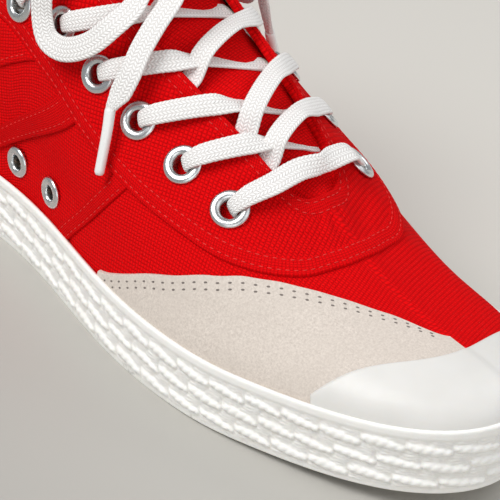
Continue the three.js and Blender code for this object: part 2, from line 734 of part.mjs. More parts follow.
const shoe = new THREE.Group();
const holed = (geometry) => punch(punch(geometry, EYELET.hole, LACE_EYELETS), VENT.hole, VENTS);
shoe.add(
  mesh('outsole', makeOutsole(), WHITE, 0.7),
  mesh('side_band', makeSideBand(), WHITE, 0.6),
  mesh('insole', makeInsole(), '#d9d2c3', 0.9),
  mesh('upper', holed(makeUpper()), RED, 0.9),
  mesh('tongue', makeTongue(), RED, 0.9),
  mesh('toe_cap', patch({ ...CAP, low: bandTop, high: capEdge, inner: STRIP_GAP, outer: CAP.thick }), WHITE, 0.5),
  mesh('toe_guard', patch({ ...GUARD, low: guardFoot, high: guardEdge, inner: STRIP_GAP }), '#cfc5b8', 0.95),
  mesh('eyestay', holed(patch({
    from: 0.5 - STAY_END, to: 0.5 + STAY_END, low: stayEdge, high: () => 1,
  })), RED, 0.9),
  mesh('heel_strip', makeHeelStrip(), RED, 0.9),
  mesh('collar_binding', makeBinding(), RED, 0.9),
);
[['medial', -1], ['lateral', 1]].forEach(([name, side]) => {
  shoe.add(
    mesh(`seam_band_${name}`, strip(SEAM, side), RED, 0.9),
    mesh(`quarter_strap_${name}`, strip(STRAP, side), RED, 0.9),
    mesh(`ankle_panel_${name}`, anklePanel(side), RED, 0.9),
  );
});
LACE_EYELETS.forEach((place, k) => {
  const pair = (k % EYELET.pairs) + 1;
  const name = `lace_eyelet_${k < EYELET.pairs ? 'medial' : 'lateral'}_${pair}`;
  shoe.add(mesh(name, eyelet(EYELET, place, OVER.outer + GAP), STEEL, 0.3, 1));
});
VENTS.forEach((place, k) => {
  shoe.add(mesh(`vent_eyelet_${k + 1}`, eyelet(VENT, place, GAP), STEEL, 0.3, 1));
});
for (let k = 1; k < EYELET.pairs - 1; k += 1) {
  shoe.add(mesh(`lace_crossing_${k + 1}`, makeCrossing(k), COTTON, 0.9));
}
shoe.add(
  mesh('lace_bottom_bar', makeBar(), COTTON, 0.9),
  mesh('lace_top_strands', makeTopStrands(), COTTON, 0.9),
  mesh('bow_knot', makeKnot(), COTTON, 0.9),
  mesh('bow_loop_near', makeLoop(NEAR_LOOP, -1), COTTON, 0.9),
  mesh('bow_loop_far', makeLoop(FAR_LOOP, 1), COTTON, 0.9),
  mesh('lace_end_near', makeEnd(NEAR_END, -1), COTTON, 0.9),
  mesh('lace_end_far', makeEnd(FAR_END, 1), COTTON, 0.9),
  mesh('lace_tip_near', makeTip(NEAR_TIP), '#f4f4f2', 0.35),
  mesh('lace_tip_far', makeTip(FAR_TIP), '#f4f4f2', 0.35),
);
shoe.position.set(-CENTRE.x, -CENTRE.y, 0);

export default shoe;
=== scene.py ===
"""Low canvas sneaker, left shoe. Places are in millimetres in the shoe's frame until a mesh is made."""
import math

import bpy
import numpy as np
from mathutils import Matrix, Vector


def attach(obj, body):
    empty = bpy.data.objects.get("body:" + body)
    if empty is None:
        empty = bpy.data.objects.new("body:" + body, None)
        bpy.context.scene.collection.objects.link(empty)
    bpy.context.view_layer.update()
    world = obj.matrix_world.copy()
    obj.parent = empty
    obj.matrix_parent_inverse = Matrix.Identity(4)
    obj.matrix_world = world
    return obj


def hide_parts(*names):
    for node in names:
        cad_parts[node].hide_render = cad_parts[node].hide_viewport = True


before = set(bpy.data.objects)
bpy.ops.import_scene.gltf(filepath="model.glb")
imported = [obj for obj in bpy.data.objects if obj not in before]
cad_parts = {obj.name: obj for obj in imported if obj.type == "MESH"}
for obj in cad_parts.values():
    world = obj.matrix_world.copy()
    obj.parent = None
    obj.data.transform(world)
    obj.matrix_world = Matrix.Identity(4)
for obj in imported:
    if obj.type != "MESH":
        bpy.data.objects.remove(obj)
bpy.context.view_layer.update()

# Driving sizes, as in the part's source
LENGTH = 288.0
BALL = 96.5
SEAT = 12.0
SPRING = 8.0
SPRING_START = 185.0
WALL = 1.8
BAND_HEIGHT = 21.3
LAYER_GAP = 0.4
CENTRE = np.array([144.0, 0.2, 0.0])
UP = np.array([0.0, 0.0, 1.0])

# The last, a row for each rib from the heel round to the toe, in shares of LENGTH and BALL, mm and degrees
RIB_COLUMNS = ("med_x", "med_y", "lat_x", "lat_y", "rim_x", "rim_y", "rim_z", "wall", "lean", "top", "slope")
RIB_TABLE = {
    "heel_back": (0.0, 0.0, 0.0, 0.0, 0.034, 0.0, 76, 0.42, 9, 0.35, 82),
    "heel_corner": (0.039, 0.215, 0.039, 0.225, 0.063, 0.16, 74, 0.42, 9, 0.35, 82),
    "heel_side": (0.127, 0.335, 0.127, 0.35, 0.136, 0.255, 67, 0.42, 6, 0.3, 78),
    "rear_waist": (0.253, 0.345, 0.263, 0.385, 0.229, 0.27, 70, 0.45, 4, 0.3, 74),
    "waist": (0.38, 0.329, 0.39, 0.425, 0.372, 0.222, 95, 0.48, 2, 0.33, 72),
    "fore_waist": (0.497, 0.38, 0.516, 0.455, 0.471, 0.208, 88.6, 0.41, 4, 0.36, 60),
    "ball": (0.614, 0.457, 0.633, 0.48, 0.569, 0.183, 76.1, 0.39, 5, 0.38, 50),
    "forefoot": (0.731, 0.475, 0.75, 0.41, 0.657, 0.155, 65.6, 0.37, 6, 0.4, 42),
    "toe_side": (0.823, 0.426, 0.857, 0.335, 0.71, 0.12, 57, 0.34, 8, 0.46, 38),
    "toe_corner": (0.941, 0.304, 0.945, 0.235, 0.731, 0.07, 53.8, 0.32, 12, 0.58, 35),
    "toe_tip": (1.0, 0.058, 1.0, -0.058, 0.7364, 0.0, 54.4, 0.32, 14, 0.62, 34),
}


def rib_loop():
    """Foot x, foot y and the rest for each rib: inner side from heel to toe, then outer side back."""
    rows = [dict(zip(RIB_COLUMNS, row)) for row in RIB_TABLE.values()]
    rest = ("rim_z", "wall", "lean", "top", "slope")
    medial = [[r["med_x"], -r["med_y"], r["rim_x"], -r["rim_y"]] + [r[k] for k in rest] for r in rows]
    lateral = [[r["lat_x"], r["lat_y"], r["rim_x"], r["rim_y"]] + [r[k] for k in rest] for r in rows[-2:0:-1]]
    return np.array(medial + lateral, float)


def spline_controls(values):
    control = values.copy()
    for _ in range(60):
        now = (np.roll(control, 1, 0) + 4 * control + np.roll(control, -1, 0)) / 6
        control = control + values - now
    return control


CONTROLS = spline_controls(rib_loop())


def rib_values(t):
    u = np.asarray(t, float) * len(CONTROLS)
    i = np.floor(u).astype(int)
    f = (u - i)[..., None]
    weights = ((1 - f) ** 3, 3 * f**3 - 6 * f**2 + 4, -3 * f**3 + 3 * f**2 + 3 * f + 1, f**3)
    return sum(w * CONTROLS[(i + k - 1) % len(CONTROLS)] for k, w in enumerate(weights)) / 6


def lift(x):
    """How far the sole has left the floor at a place along the shoe."""
    return SPRING * np.clip((x - SPRING_START) / (LENGTH - SPRING_START), 0, 1.1) ** 2.2


def unit(v):
    return v / (np.linalg.norm(v, axis=-1, keepdims=True) + 1e-12)


def distance_along(points):
    """Length gone at each point of a line, from its first."""
    return np.concatenate([[0], np.cumsum(np.linalg.norm(np.diff(points, axis=0), axis=1))])


def foot(t):
    v = rib_values(t)
    x = v[..., 0] * LENGTH
    return np.stack([x, v[..., 1] * BALL, SEAT + lift(x)], -1)


def outward(t):
    step = foot(t + 1e-3) - foot(t - 1e-3)
    return unit(np.stack([step[..., 1], -step[..., 0], 0 * step[..., 0]], -1))


def last(t, s):
    """A point of the upper's outside: t goes round the shoe, s from the foot line to the rim."""
    t = np.asarray(t, float)
    v = rib_values(t)
    low = foot(t)
    high = np.stack([v[..., 2] * LENGTH, v[..., 3] * BALL, v[..., 4]], -1)
    span = np.linalg.norm(low - high, axis=-1)[..., None]
    level = unit((low - high) * [1, 1, 0])
    wall, lean, top, slope = v[..., 5:6], np.radians(v[..., 6:7]), v[..., 7:8], np.radians(v[..., 8:9])
    rise = low + (outward(t) * np.sin(lean) + UP * np.cos(lean)) * wall * span
    leave = high + (level * np.cos(slope) - UP * np.sin(slope)) * top * span
    s = np.asarray(s, float)[..., None]
    return (1 - s) ** 3 * low + 3 * (1 - s) ** 2 * s * rise + 3 * (1 - s) * s**2 * leave + s**3 * high


def normal(t, s):
    e = 1e-3
    return unit(np.cross(last(t + e, s) - last(t - e, s), last(t, s + e) - last(t, s - e)))


def skin(t, s, off):
    return last(t, s) + normal(t, s) * np.asarray(off, float)[..., None]


S_STEPS = np.linspace(0, 1, 81)


def rib_lengths(t):
    points = last(np.asarray(t, float)[..., None], S_STEPS)
    gone = np.cumsum(np.linalg.norm(np.diff(points, axis=-2), axis=-1), axis=-1)
    return np.concatenate([0 * gone[..., :1], gone], axis=-1)


def on_each(function, t, value):
    t, value = np.broadcast_arrays(np.asarray(t, float), np.asarray(value, float))
    flat = [function(a, b) for a, b in zip(t.ravel(), value.ravel())]
    return np.array(flat).reshape(t.shape)


def s_from_foot(t, distance):
    return on_each(lambda a, d: np.interp(d, rib_lengths(a), S_STEPS), t, distance)


def s_from_rim(t, distance):
    def place(a, d):
        lengths = rib_lengths(a)
        return np.interp(lengths[-1] - d, lengths, S_STEPS)
    return on_each(place, t, distance)


def s_at_height(t, z):
    return on_each(lambda a, h: np.interp(h, last(a, S_STEPS[:65])[..., 2], S_STEPS[:65]), t, z)


def look_up(rows, place, blur=0.0):
    """Lookup in a short table of (place, value) rows, its corners rounded over the blur."""
    at, value = np.array(rows, float).T
    return np.mean([np.interp(place + d, at, value) for d in np.linspace(-blur, blur, 9)], axis=0)


# Making meshes

def make_piece(name, points, quads, uvs, materials, slots=None, slot="canvas", replaces=(), caps=()):
    """A mesh object from points in mm and quads, with each corner's place on the cloth in mm.
    A cap is one more face, given as its corners and their places."""
    quads, uvs = np.asarray(quads, int), np.asarray(uvs, float)
    points = np.asarray(points, float)
    a, b, c, d = (points[quads[:, k]] for k in range(4))
    if np.sum(a * np.cross(b, c)) + np.sum(a * np.cross(c, d)) < 0:
        quads, uvs = quads[:, ::-1], uvs[:, ::-1]
        caps = [(corners[::-1], places[::-1]) for corners, places in caps]
    corners = np.concatenate([quads.ravel()] + [np.asarray(cap, int) for cap, _ in caps])
    cloth = np.concatenate([uvs.reshape(-1, 2)] + [np.asarray(places, float) for _, places in caps])
    used, corners = np.unique(corners, return_inverse=True)
    count = quads.size
    faces = corners[:count].reshape(-1, 4).tolist()
    for cap, _ in caps:
        faces.append(corners[count:count + len(cap)].tolist())
        count += len(cap)
    mesh = bpy.data.meshes.new(name)
    mesh.from_pydata(((points[used] - CENTRE) / 1000).tolist(), [], faces)
    mesh.uv_layers.new(name="cloth").data.foreach_set("uv", cloth.ravel())
    for material in materials:
        mesh.materials.append(material)
    if slots is not None:
        mesh.polygons.foreach_set("material_index", slots)
    mesh.shade_smooth()
    piece = bpy.data.objects.new(name, mesh)
    bpy.context.scene.collection.objects.link(piece)
    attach(piece, "root")
    if replaces:
        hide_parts(*replaces)
    return piece


def make_sheet(name, outer, inner, uv, materials, closed=False, keep=None, patch=None, **rest):
    """Two layers of one grid, walled along every free edge. Material 0 is outside and the last one inside;
    a patch is a mask of cells that take material 1, with the places on its own cloth."""
    n, m = outer.shape[:2]
    spans = n if closed else n - 1
    keep = np.ones((spans, m - 1), bool) if keep is None else keep
    mask, patch_uv = patch if patch else (np.zeros_like(keep), uv)
    points = np.concatenate([outer.reshape(-1, 3), inner.reshape(-1, 3)])
    i, j = np.nonzero(keep)
    around = np.pad(keep, 1)
    if closed:
        around[0, 1:-1], around[-1, 1:-1] = keep[-1], keep[0]
    corners = [(i, j), (i + 1, j), (i + 1, j + 1), (i, j + 1)]
    quads, uvs, slots = [], [], []

    def add(rows, material, chosen):
        quads.append(np.stack([layer * n * m + (a[chosen] % n) * m + b[chosen] for layer, a, b in rows], -1))
        patched = mask[i, j][chosen][:, None, None]
        plain_uv = np.stack([uv[a[chosen], b[chosen]] for _, a, b in rows], 1)
        other_uv = np.stack([patch_uv[a[chosen], b[chosen]] for _, a, b in rows], 1)
        uvs.append(np.where(patched, other_uv, plain_uv))
        patch_slot = 1 if material == 0 else material
        slots.append(np.where(mask[i, j][chosen], patch_slot, material))

    every = np.ones(len(i), bool)
    add([(0, *c) for c in corners], 0, every)
    add([(1, *c) for c in corners[::-1]], len(materials) - 1, every)
    for k, (di, dj) in enumerate(((0, -1), (1, 0), (0, 1), (-1, 0))):
        free = ~around[i + 1 + di, j + 1 + dj]
        p, q = corners[k], corners[(k + 1) % 4]
        add([(0, *q), (0, *p), (1, *p), (1, *q)], 0, free)
    quads, uvs, slots = (np.concatenate(part) for part in (quads, uvs, slots))
    return make_piece(name, points, quads, uvs, materials, slots, **rest)


def make_tube(name, rings, uv, materials, closed=False, **rest):
    """Closed rings joined one after the other, the ends capped unless the run is closed."""
    n, m = rings.shape[:2]
    i, k = (v.ravel() for v in np.meshgrid(np.arange(n if closed else n - 1), np.arange(m), indexing="ij"))
    rows = [(i, k), (i, k + 1), (i + 1, k + 1), (i + 1, k)]
    quads = np.stack([(a % n) * m + b % m for a, b in rows], -1)
    uvs = np.stack([uv[a, b] for a, b in rows], 1)
    first = (list(range(m))[::-1], uv[0, :m][::-1])
    final = ([(n - 1) * m + q for q in range(m)], uv[-1, :m])
    ends = () if closed else (first, final)
    return make_piece(name, rings.reshape(-1, 3), quads, uvs, materials, caps=ends, **rest)


def ridge_height(x):
    """Height of the upper's ridge along the shoe, over which the cloth is draped."""
    at = np.linspace(0.2, 0.5, 40)
    rim, front = last(at, 1.0), last(0.5, np.linspace(1, 0, 40))
    return np.interp(x, np.concatenate([rim[:, 0], front[1:, 0]]), np.concatenate([rim[:, 2], front[1:, 2]]))


def cosine_steps(count):
    return (1 - np.cos(np.linspace(0, math.pi, count + 1))) / 2


def smooth_step(a, b, x):
    f = np.clip((x - a) / (b - a), 0, 1)
    return f * f * (3 - 2 * f)


def rounded(d, radius):
    """1 inside, falling to 0 at the edge as a quarter round."""
    f = 1 - np.clip(d / radius, 0, 1)
    return np.sqrt(np.clip(1 - f * f, 0, 1))


def cloth_uv(t, s):
    """Where each point of the last lies on flat cloth, in mm: along the shoe, and down from the ridge."""
    t, s = np.broadcast_arrays(t, s)
    front = np.clip(t, 0.15, 0.85)
    points = last(t, s)
    base = last(front, s)
    back = np.linalg.norm(foot(t) - foot(front), axis=-1)
    drop = np.hypot(points[..., 1], ridge_height(base[..., 0]) - points[..., 2])
    side = np.tanh(points[..., 1] / 3)
    return np.stack([base[..., 0] - back, drop * side], -1)


# Nodes

class Nodes:
    """Short forms for building a material's tree."""

    def __init__(self, tree):
        self.tree = tree

    def add(self, kind, inputs=None, **settings):
        node = self.tree.nodes.new(kind)
        for key, value in settings.items():
            setattr(node, key, value)
        for key, value in (inputs or {}).items():
            if isinstance(value, bpy.types.NodeSocket):
                self.tree.links.new(value, node.inputs[key])
            else:
                node.inputs[key].default_value = value
        return node

    def math(self, operation, a, b=0.0):
        return self.add("ShaderNodeMath", {0: a, 1: b}, operation=operation).outputs[0]

    def noise(self, vector, scale, detail=3.0, rough=0.5):
        values = {"Vector": vector, "Scale": scale, "Detail": detail, "Roughness": rough}
        return self.add("ShaderNodeTexNoise", values).outputs["Fac"]

    def range(self, value, low, high, to_low, to_high):
        values = {"Value": value, "From Min": low, "From Max": high, "To Min": to_low, "To Max": to_high}
        return self.add("ShaderNodeMapRange", values).outputs[0]

    def mix(self, factor, a, b, blend="MIX"):
        node = self.add("ShaderNodeMix", {0: factor}, data_type="RGBA", blend_type=blend)
        for k, value in ((6, a), (7, b)):
            if isinstance(value, bpy.types.NodeSocket):
                self.tree.links.new(value, node.inputs[k])
            else:
                node.inputs[k].default_value = (*value, 1)
        return node.outputs[2]

    def bump(self, height, distance, strength=1.0, below=None):
        values = {"Height": height, "Distance": distance, "Strength": strength}
        if below is not None:
            values["Normal"] = below
        return self.add("ShaderNodeBump", values).outputs[0]


def new_material(name, **shader):
    """A material with its own Principled shader; the caller links colour, roughness and normal."""
    material = bpy.data.materials.new(name)
    material.use_nodes = True
    tree = material.node_tree
    tree.nodes.clear()
    nodes = Nodes(tree)
    surface = nodes.add("ShaderNodeBsdfPrincipled")
    for key, value in shader.items():
        surface.inputs[key.replace("_", " ")].default_value = value
    out = nodes.add("ShaderNodeOutputMaterial")
    tree.links.new(surface.outputs[0], out.inputs[0])
    place = nodes.add("ShaderNodeTexCoord")
    return material, nodes, surface, place


def link(nodes, socket, surface, key):
    nodes.tree.links.new(socket, surface.inputs[key])


def weave_height(nodes, uv, pitch_across, pitch_up, turn=0.0):
    """Plain weave: threads go over and under in turn, each crossing a small pillow."""
    turned = nodes.add("ShaderNodeMapping", {"Vector": uv, "Rotation": (0, 0, turn)}).outputs[0]
    sway = nodes.add("ShaderNodeTexNoise", {"Vector": uv, "Scale": 0.35, "Detail": 2.0}).outputs["Color"]
    bent = nodes.add("ShaderNodeMix", {0: 0.06, 4: turned, 5: sway}, data_type="VECTOR").outputs[1]
    size = (1 / pitch_across, 1 / pitch_up, 1)
    sized = nodes.add("ShaderNodeMapping", {"Vector": bent, "Scale": size}).outputs[0]
    parts = nodes.add("ShaderNodeSeparateXYZ", {0: sized}).outputs
    across = nodes.math("ABSOLUTE", nodes.math("SINE", nodes.math("MULTIPLY", parts[0], math.pi)))
    up = nodes.math("ABSOLUTE", nodes.math("SINE", nodes.math("MULTIPLY", parts[1], math.pi)))
    cell = nodes.math("ADD", nodes.math("FLOOR", parts[0]), nodes.math("FLOOR", parts[1]))
    odd = nodes.math("MODULO", nodes.math("ABSOLUTE", cell), 2.0)
    warp = nodes.math("MULTIPLY", across, nodes.math("POWER", up, 0.4))
    weft = nodes.math("MULTIPLY", nodes.math("POWER", across, 0.4), up)
    return nodes.add("ShaderNodeMix", {0: odd, 2: warp, 3: nodes.math("MULTIPLY", weft, 0.72)}).outputs[0]


def canvas(name, colour, pitch_across, pitch_up, depth, shade=0.5, slub=0.25, turn=0.0):
    """Cotton canvas: painted darker between the threads as shade, with uneven yarn and soft broad changes of
    tone.
    """
    material, nodes, surface, place = new_material(name, Roughness=0.92, Specular_IOR_Level=0.06)
    uv = place.outputs["UV"]
    height = weave_height(nodes, uv, pitch_across, pitch_up, turn)
    drift = nodes.noise(uv, 0.12, 4.0, 0.6)
    thread = nodes.noise(uv, 1.3, 2.0, 0.7)
    # Painted shade: the weave's low parts between the threads take a darker copy of the colour.
    lit = nodes.mix(nodes.range(height, 0.05, 0.75, 0, 1), tuple(shade * c for c in colour), colour)
    bright = tuple(min(1.0, 1.12 * c + 0.012) for c in colour)
    lit = nodes.mix(nodes.range(thread, 0.35, 0.75, 0, slub), lit, bright)
    lit = nodes.mix(nodes.range(drift, 0.3, 0.7, 0, 0.2), lit, tuple(0.8 * c for c in colour))
    link(nodes, lit, surface, "Base Color")
    relief = nodes.math("ADD", height, nodes.math("MULTIPLY", thread, 0.5))
    link(nodes, nodes.bump(relief, depth, 1.0), surface, "Normal")
    return material


RED = (0.83, 0.0016, 0.003)
WEAVE = canvas("red canvas", RED, 1.15, 0.78, 0.0003, 0.6, turn=-0.3)
STAY_WEAVE = canvas("red canvas coarse", RED, 1.25, 0.85, 0.00036, 0.58, turn=-0.4)
TAPE_WEAVE = canvas("red tape", (0.79, 0.0016, 0.003), 0.8, 0.8, 0.00022, 0.6)
LINING = canvas("lining cloth", (0.55, 0.4, 0.27), 0.7, 0.7, 0.00012, 0.8)
BED_CLOTH = canvas("insole cloth", (0.6, 0.52, 0.42), 0.8, 0.8, 0.00012, 0.8)


def plain(name, colour, rough, spots=900.0, depth=0.00005, vary=0.9, **shader):
    """A smooth finish with a little mottling, on object coordinates."""
    material, nodes, surface, place = new_material(name, **shader)
    where = place.outputs["Object"]
    fine = nodes.noise(where, spots, 3.0, 0.6)
    broad = nodes.noise(where, 45.0, 3.0, 0.6)
    tone = nodes.mix(nodes.range(broad, 0.3, 0.7, 0, 1), tuple(vary * c for c in colour), colour)
    link(nodes, tone, surface, "Base Color")
    link(nodes, nodes.range(fine, 0.3, 0.7, rough - 0.06, rough + 0.06), surface, "Roughness")
    link(nodes, nodes.bump(fine, depth), surface, "Normal")
    return material


def make_suede():
    sheen = {"Sheen_Weight": 0.15, "Sheen_Roughness": 0.5}
    material, nodes, surface, place = new_material("suede", Roughness=0.95, **sheen)
    where = place.outputs["Object"]
    nap = nodes.noise(where, 1500.0, 4.0, 0.75)
    grain = nodes.noise(where, 420.0, 3.0, 0.6)
    brush = nodes.noise(where, 60.0, 4.0, 0.65)
    tone = nodes.mix(nodes.range(nap, 0.35, 0.68, 0, 1), (0.56, 0.49, 0.43), (0.77, 0.69, 0.615))
    tone = nodes.mix(nodes.range(brush, 0.35, 0.7, 0, 0.5), tone, (0.62, 0.55, 0.485))
    link(nodes, tone, surface, "Base Color")
    relief = nodes.math("ADD", nap, nodes.math("MULTIPLY", grain, 0.8))
    link(nodes, nodes.bump(relief, 0.00016), surface, "Normal")
    return material


def make_band_rubber():
    """White rubber, painted greyer down in the mould's grooves as shade, and scuffed near the floor."""
    material, nodes, surface, place = new_material("band rubber", Subsurface_Weight=0.08)
    surface.inputs["Subsurface Radius"].default_value = (0.002, 0.0015, 0.001)
    where = place.outputs["Object"]
    groove = nodes.add("ShaderNodeAttribute", attribute_name="groove").outputs["Fac"]
    fine = nodes.noise(where, 1100.0, 3.0, 0.6)
    broad = nodes.noise(where, 60.0, 4.0, 0.65)
    # Painted shade: the groove attribute greys the rubber down between the ropes.
    tone = nodes.mix(nodes.range(groove, 0.1, 1.0, 0, 0.5), (0.94, 0.93, 0.895), (0.76, 0.735, 0.69))
    tone = nodes.mix(nodes.range(broad, 0.48, 0.75, 0, 0.3), tone, (0.84, 0.81, 0.75))
    height = nodes.add("ShaderNodeSeparateXYZ", {0: where}).outputs[2]
    low = nodes.range(height, 0.0, 0.004, 1, 0)
    scuff = nodes.math("MULTIPLY", low, nodes.range(nodes.noise(where, 220.0, 4.0, 0.8), 0.55, 0.7, 0, 0.7))
    link(nodes, nodes.mix(scuff, tone, (0.3, 0.28, 0.25)), surface, "Base Color")
    link(nodes, nodes.range(fine, 0.3, 0.7, 0.5, 0.66), surface, "Roughness")
    link(nodes, nodes.bump(fine, 0.00006), surface, "Normal")
    return material


def make_cap_rubber():
    material, nodes, surface, place = new_material("cap rubber", Subsurface_Weight=0.1)
    surface.inputs["Subsurface Radius"].default_value = (0.002, 0.0015, 0.001)
    where = place.outputs["Object"]
    fine = nodes.noise(where, 700.0, 2.0, 0.5)
    broad = nodes.noise(where, 35.0, 3.0, 0.6)
    tone = nodes.mix(nodes.range(broad, 0.35, 0.7, 0, 1), (0.74, 0.725, 0.695), (0.69, 0.675, 0.64))
    link(nodes, tone, surface, "Base Color")
    link(nodes, nodes.range(fine, 0.3, 0.7, 0.36, 0.46), surface, "Roughness")
    link(nodes, nodes.bump(fine, 0.00002), surface, "Normal")
    return material


def make_steel():
    material, nodes, surface, place = new_material("plated steel", Metallic=1.0)
    where = place.outputs["Object"]
    haze = nodes.noise(where, 500.0, 4.0, 0.7)
    tone = nodes.mix(nodes.range(haze, 0.35, 0.7, 0, 1), (0.78, 0.8, 0.8), (0.6, 0.62, 0.63))
    link(nodes, tone, surface, "Base Color")
    link(nodes, nodes.range(haze, 0.3, 0.7, 0.16, 0.34), surface, "Roughness")
    link(nodes, nodes.bump(haze, 0.00003), surface, "Normal")
    return material


def make_lace_cotton():
    """Flat braid: slanting threads that meet in a point along the middle of the lace."""
    material, nodes, surface, place = new_material("lace cotton", Roughness=0.9, Sheen_Weight=0.1)
    uv = place.outputs["UV"]
    parts = nodes.add("ShaderNodeSeparateXYZ", {0: uv}).outputs
    across = nodes.math("FRACT", nodes.math("DIVIDE", parts[0], 2.4))
    fold = nodes.math("ABSOLUTE", nodes.math("SUBTRACT", across, 0.5))
    slope = nodes.math("ADD", nodes.math("DIVIDE", parts[1], 1.15), nodes.math("MULTIPLY", fold, 1.6))
    rows = nodes.math("ABSOLUTE", nodes.math("SINE", nodes.math("MULTIPLY", slope, math.pi)))
    ribs = nodes.math("ABSOLUTE", nodes.math("SINE", nodes.math("MULTIPLY", parts[0], math.pi / 1.2)))
    height = nodes.math("MULTIPLY", rows, nodes.math("POWER", ribs, 0.5))
    fuzz = nodes.noise(uv, 2.2, 3.0, 0.7)
    # Painted shade: the braid is darker down between its threads, where its height is low.
    tone = nodes.mix(nodes.range(height, 0.1, 0.8, 0, 1), (0.74, 0.71, 0.685), (0.97, 0.955, 0.935))
    tone = nodes.mix(nodes.range(fuzz, 0.4, 0.8, 0, 0.25), tone, (0.86, 0.84, 0.815))
    link(nodes, tone, surface, "Base Color")
    relief = nodes.math("ADD", height, nodes.math("MULTIPLY", fuzz, 0.4))
    link(nodes, nodes.bump(relief, 0.00022), surface, "Normal")
    return material


SUEDE = make_suede()
BAND_RUBBER = make_band_rubber()
CAP_RUBBER = make_cap_rubber()
STEEL = make_steel()
LACE_COTTON = make_lace_cotton()
SOLE_RUBBER = plain("tread rubber", (0.72, 0.69, 0.62), 0.65, 700.0, 0.0001)
TIP_PLASTIC = plain("tip plastic", (0.86, 0.86, 0.84), 0.25, 500.0, 0.00001, 0.96, Coat_Weight=0.4)
RED_THREAD = plain("red thread", (0.85, 0.032, 0.026), 0.8, 3000.0, 0.0001, 0.85)
# Painted shade: near-black marks that stand for the shade in the guard's stitch holes.
HOLE_SHADE = plain("stitch hole shade", (0.2, 0.17, 0.15), 0.9, 3000.0, 0.0001, 0.8)


# The camera stands where the photograph was taken from, rolled as it was.
VIEW = {
    "place": (601.65, -446.91, 423.57), "look": (-0.5713, 0.6102, -0.5489), "up": (-0.4567, 0.3193, 0.8303),
    "sensor": 36.0, "lens": 178.5,
}


def make_camera():
    data = bpy.data.cameras.new("camera")
    data.sensor_width = VIEW["sensor"]
    data.lens = VIEW["lens"]
    data.clip_end = 20
    camera = bpy.data.objects.new("camera", data)
    look = Vector(VIEW["look"]).normalized()
    right = look.cross(Vector(VIEW["up"])).normalized()
    up = right.cross(look)
    turn = Matrix((right, up, -look)).transposed()
    place = Vector((np.array(VIEW["place"]) - CENTRE) / 1000)
    camera.matrix_world = Matrix.Translation(place) @ turn.to_4x4()
    bpy.context.scene.collection.objects.link(camera)
    bpy.context.scene.camera = camera


# Eyelets, in mm over the cloth. The ring's flange is rolled over the cloth's face and its washer lies inside.
EYELET = {"pairs": 6, "first": 0.3535, "setback": 18.0, "spacing": 19.3, "flange": 5.8, "hole": 2.9}
VENT = {"flange": 5.0, "hole": 2.3, "height": 28.6, "stations": (0.208, 0.2365)}
RING = {"rise": 1.2, "sunk": 0.15, "lip": 0.25, "barrel": 0.5, "slack": 0.6, "clear": 0.15, "sides": 56}
WASHER = {"lip": 1.4, "edge": 1.2, "curl": 0.3, "deep": 0.9, "thick": 0.5}
STAY_FACE = 0.95
QUARTER_FACE = 0.15
THROAT = {"reach": 2.8, "from": 0.27, "to": 0.34}
SIDES = (("medial", -1), ("lateral", 1))


def top_of(t):
    """Where the upper's cut edge lies: past the last's rim along the throat, on it round the collar."""
    v = rib_values(t)
    high = np.stack([v[..., 2] * LENGTH, v[..., 3] * BALL, v[..., 4]], -1)
    span = np.linalg.norm(foot(t) - high, axis=-1)
    from_toe = np.abs(np.mod(t, 1.0) - 0.5)
    reach = THROAT["reach"] * (1 - smooth_step(THROAT["from"], THROAT["to"], from_toe))
    return 1 + reach / (3 * v[..., 7] * span)


def eyelet_stations():
    """Each pair's place round the last, stepping back from the toe by the spacing."""
    stations = []
    t = EYELET["first"]
    for _ in range(EYELET["pairs"]):
        stations.append(t)
        tries = t - np.arange(0, 0.06, 0.0004)
        points = last(tries, s_from_rim(tries, EYELET["setback"]))
        t = tries[np.argmax(np.linalg.norm(points - points[0], axis=1) >= EYELET["spacing"])]
    return stations


STATIONS = eyelet_stations()


def mirror(t, side):
    return t if side < 0 else 1 - t


def eyelet_place(side, k):
    t = mirror(STATIONS[k], side)
    return t, float(s_from_rim(t, EYELET["setback"]))


VENT_PLACES = [(t, float(s_at_height(t, VENT["height"]))) for t in VENT["stations"]]
HOLES = [(eyelet_place(side, k), EYELET["hole"]) for _, side in SIDES for k in range(EYELET["pairs"])]
HOLES += [(place, VENT["hole"]) for place in VENT_PLACES]


def keep_clear_of_holes(points, closed=False):
    """Which cells of a grid lie clear of the eyelets' barrels."""
    clear = np.ones(points.shape[:2], bool)
    for (t, s), hole in HOLES:
        clear &= np.linalg.norm(points - last(t, s), axis=-1) > hole + RING["barrel"] + RING["clear"]
    if closed:
        clear = np.concatenate([clear, clear[:1]])
    return clear[:-1, :-1] & clear[1:, :-1] & clear[1:, 1:] & clear[:-1, 1:]


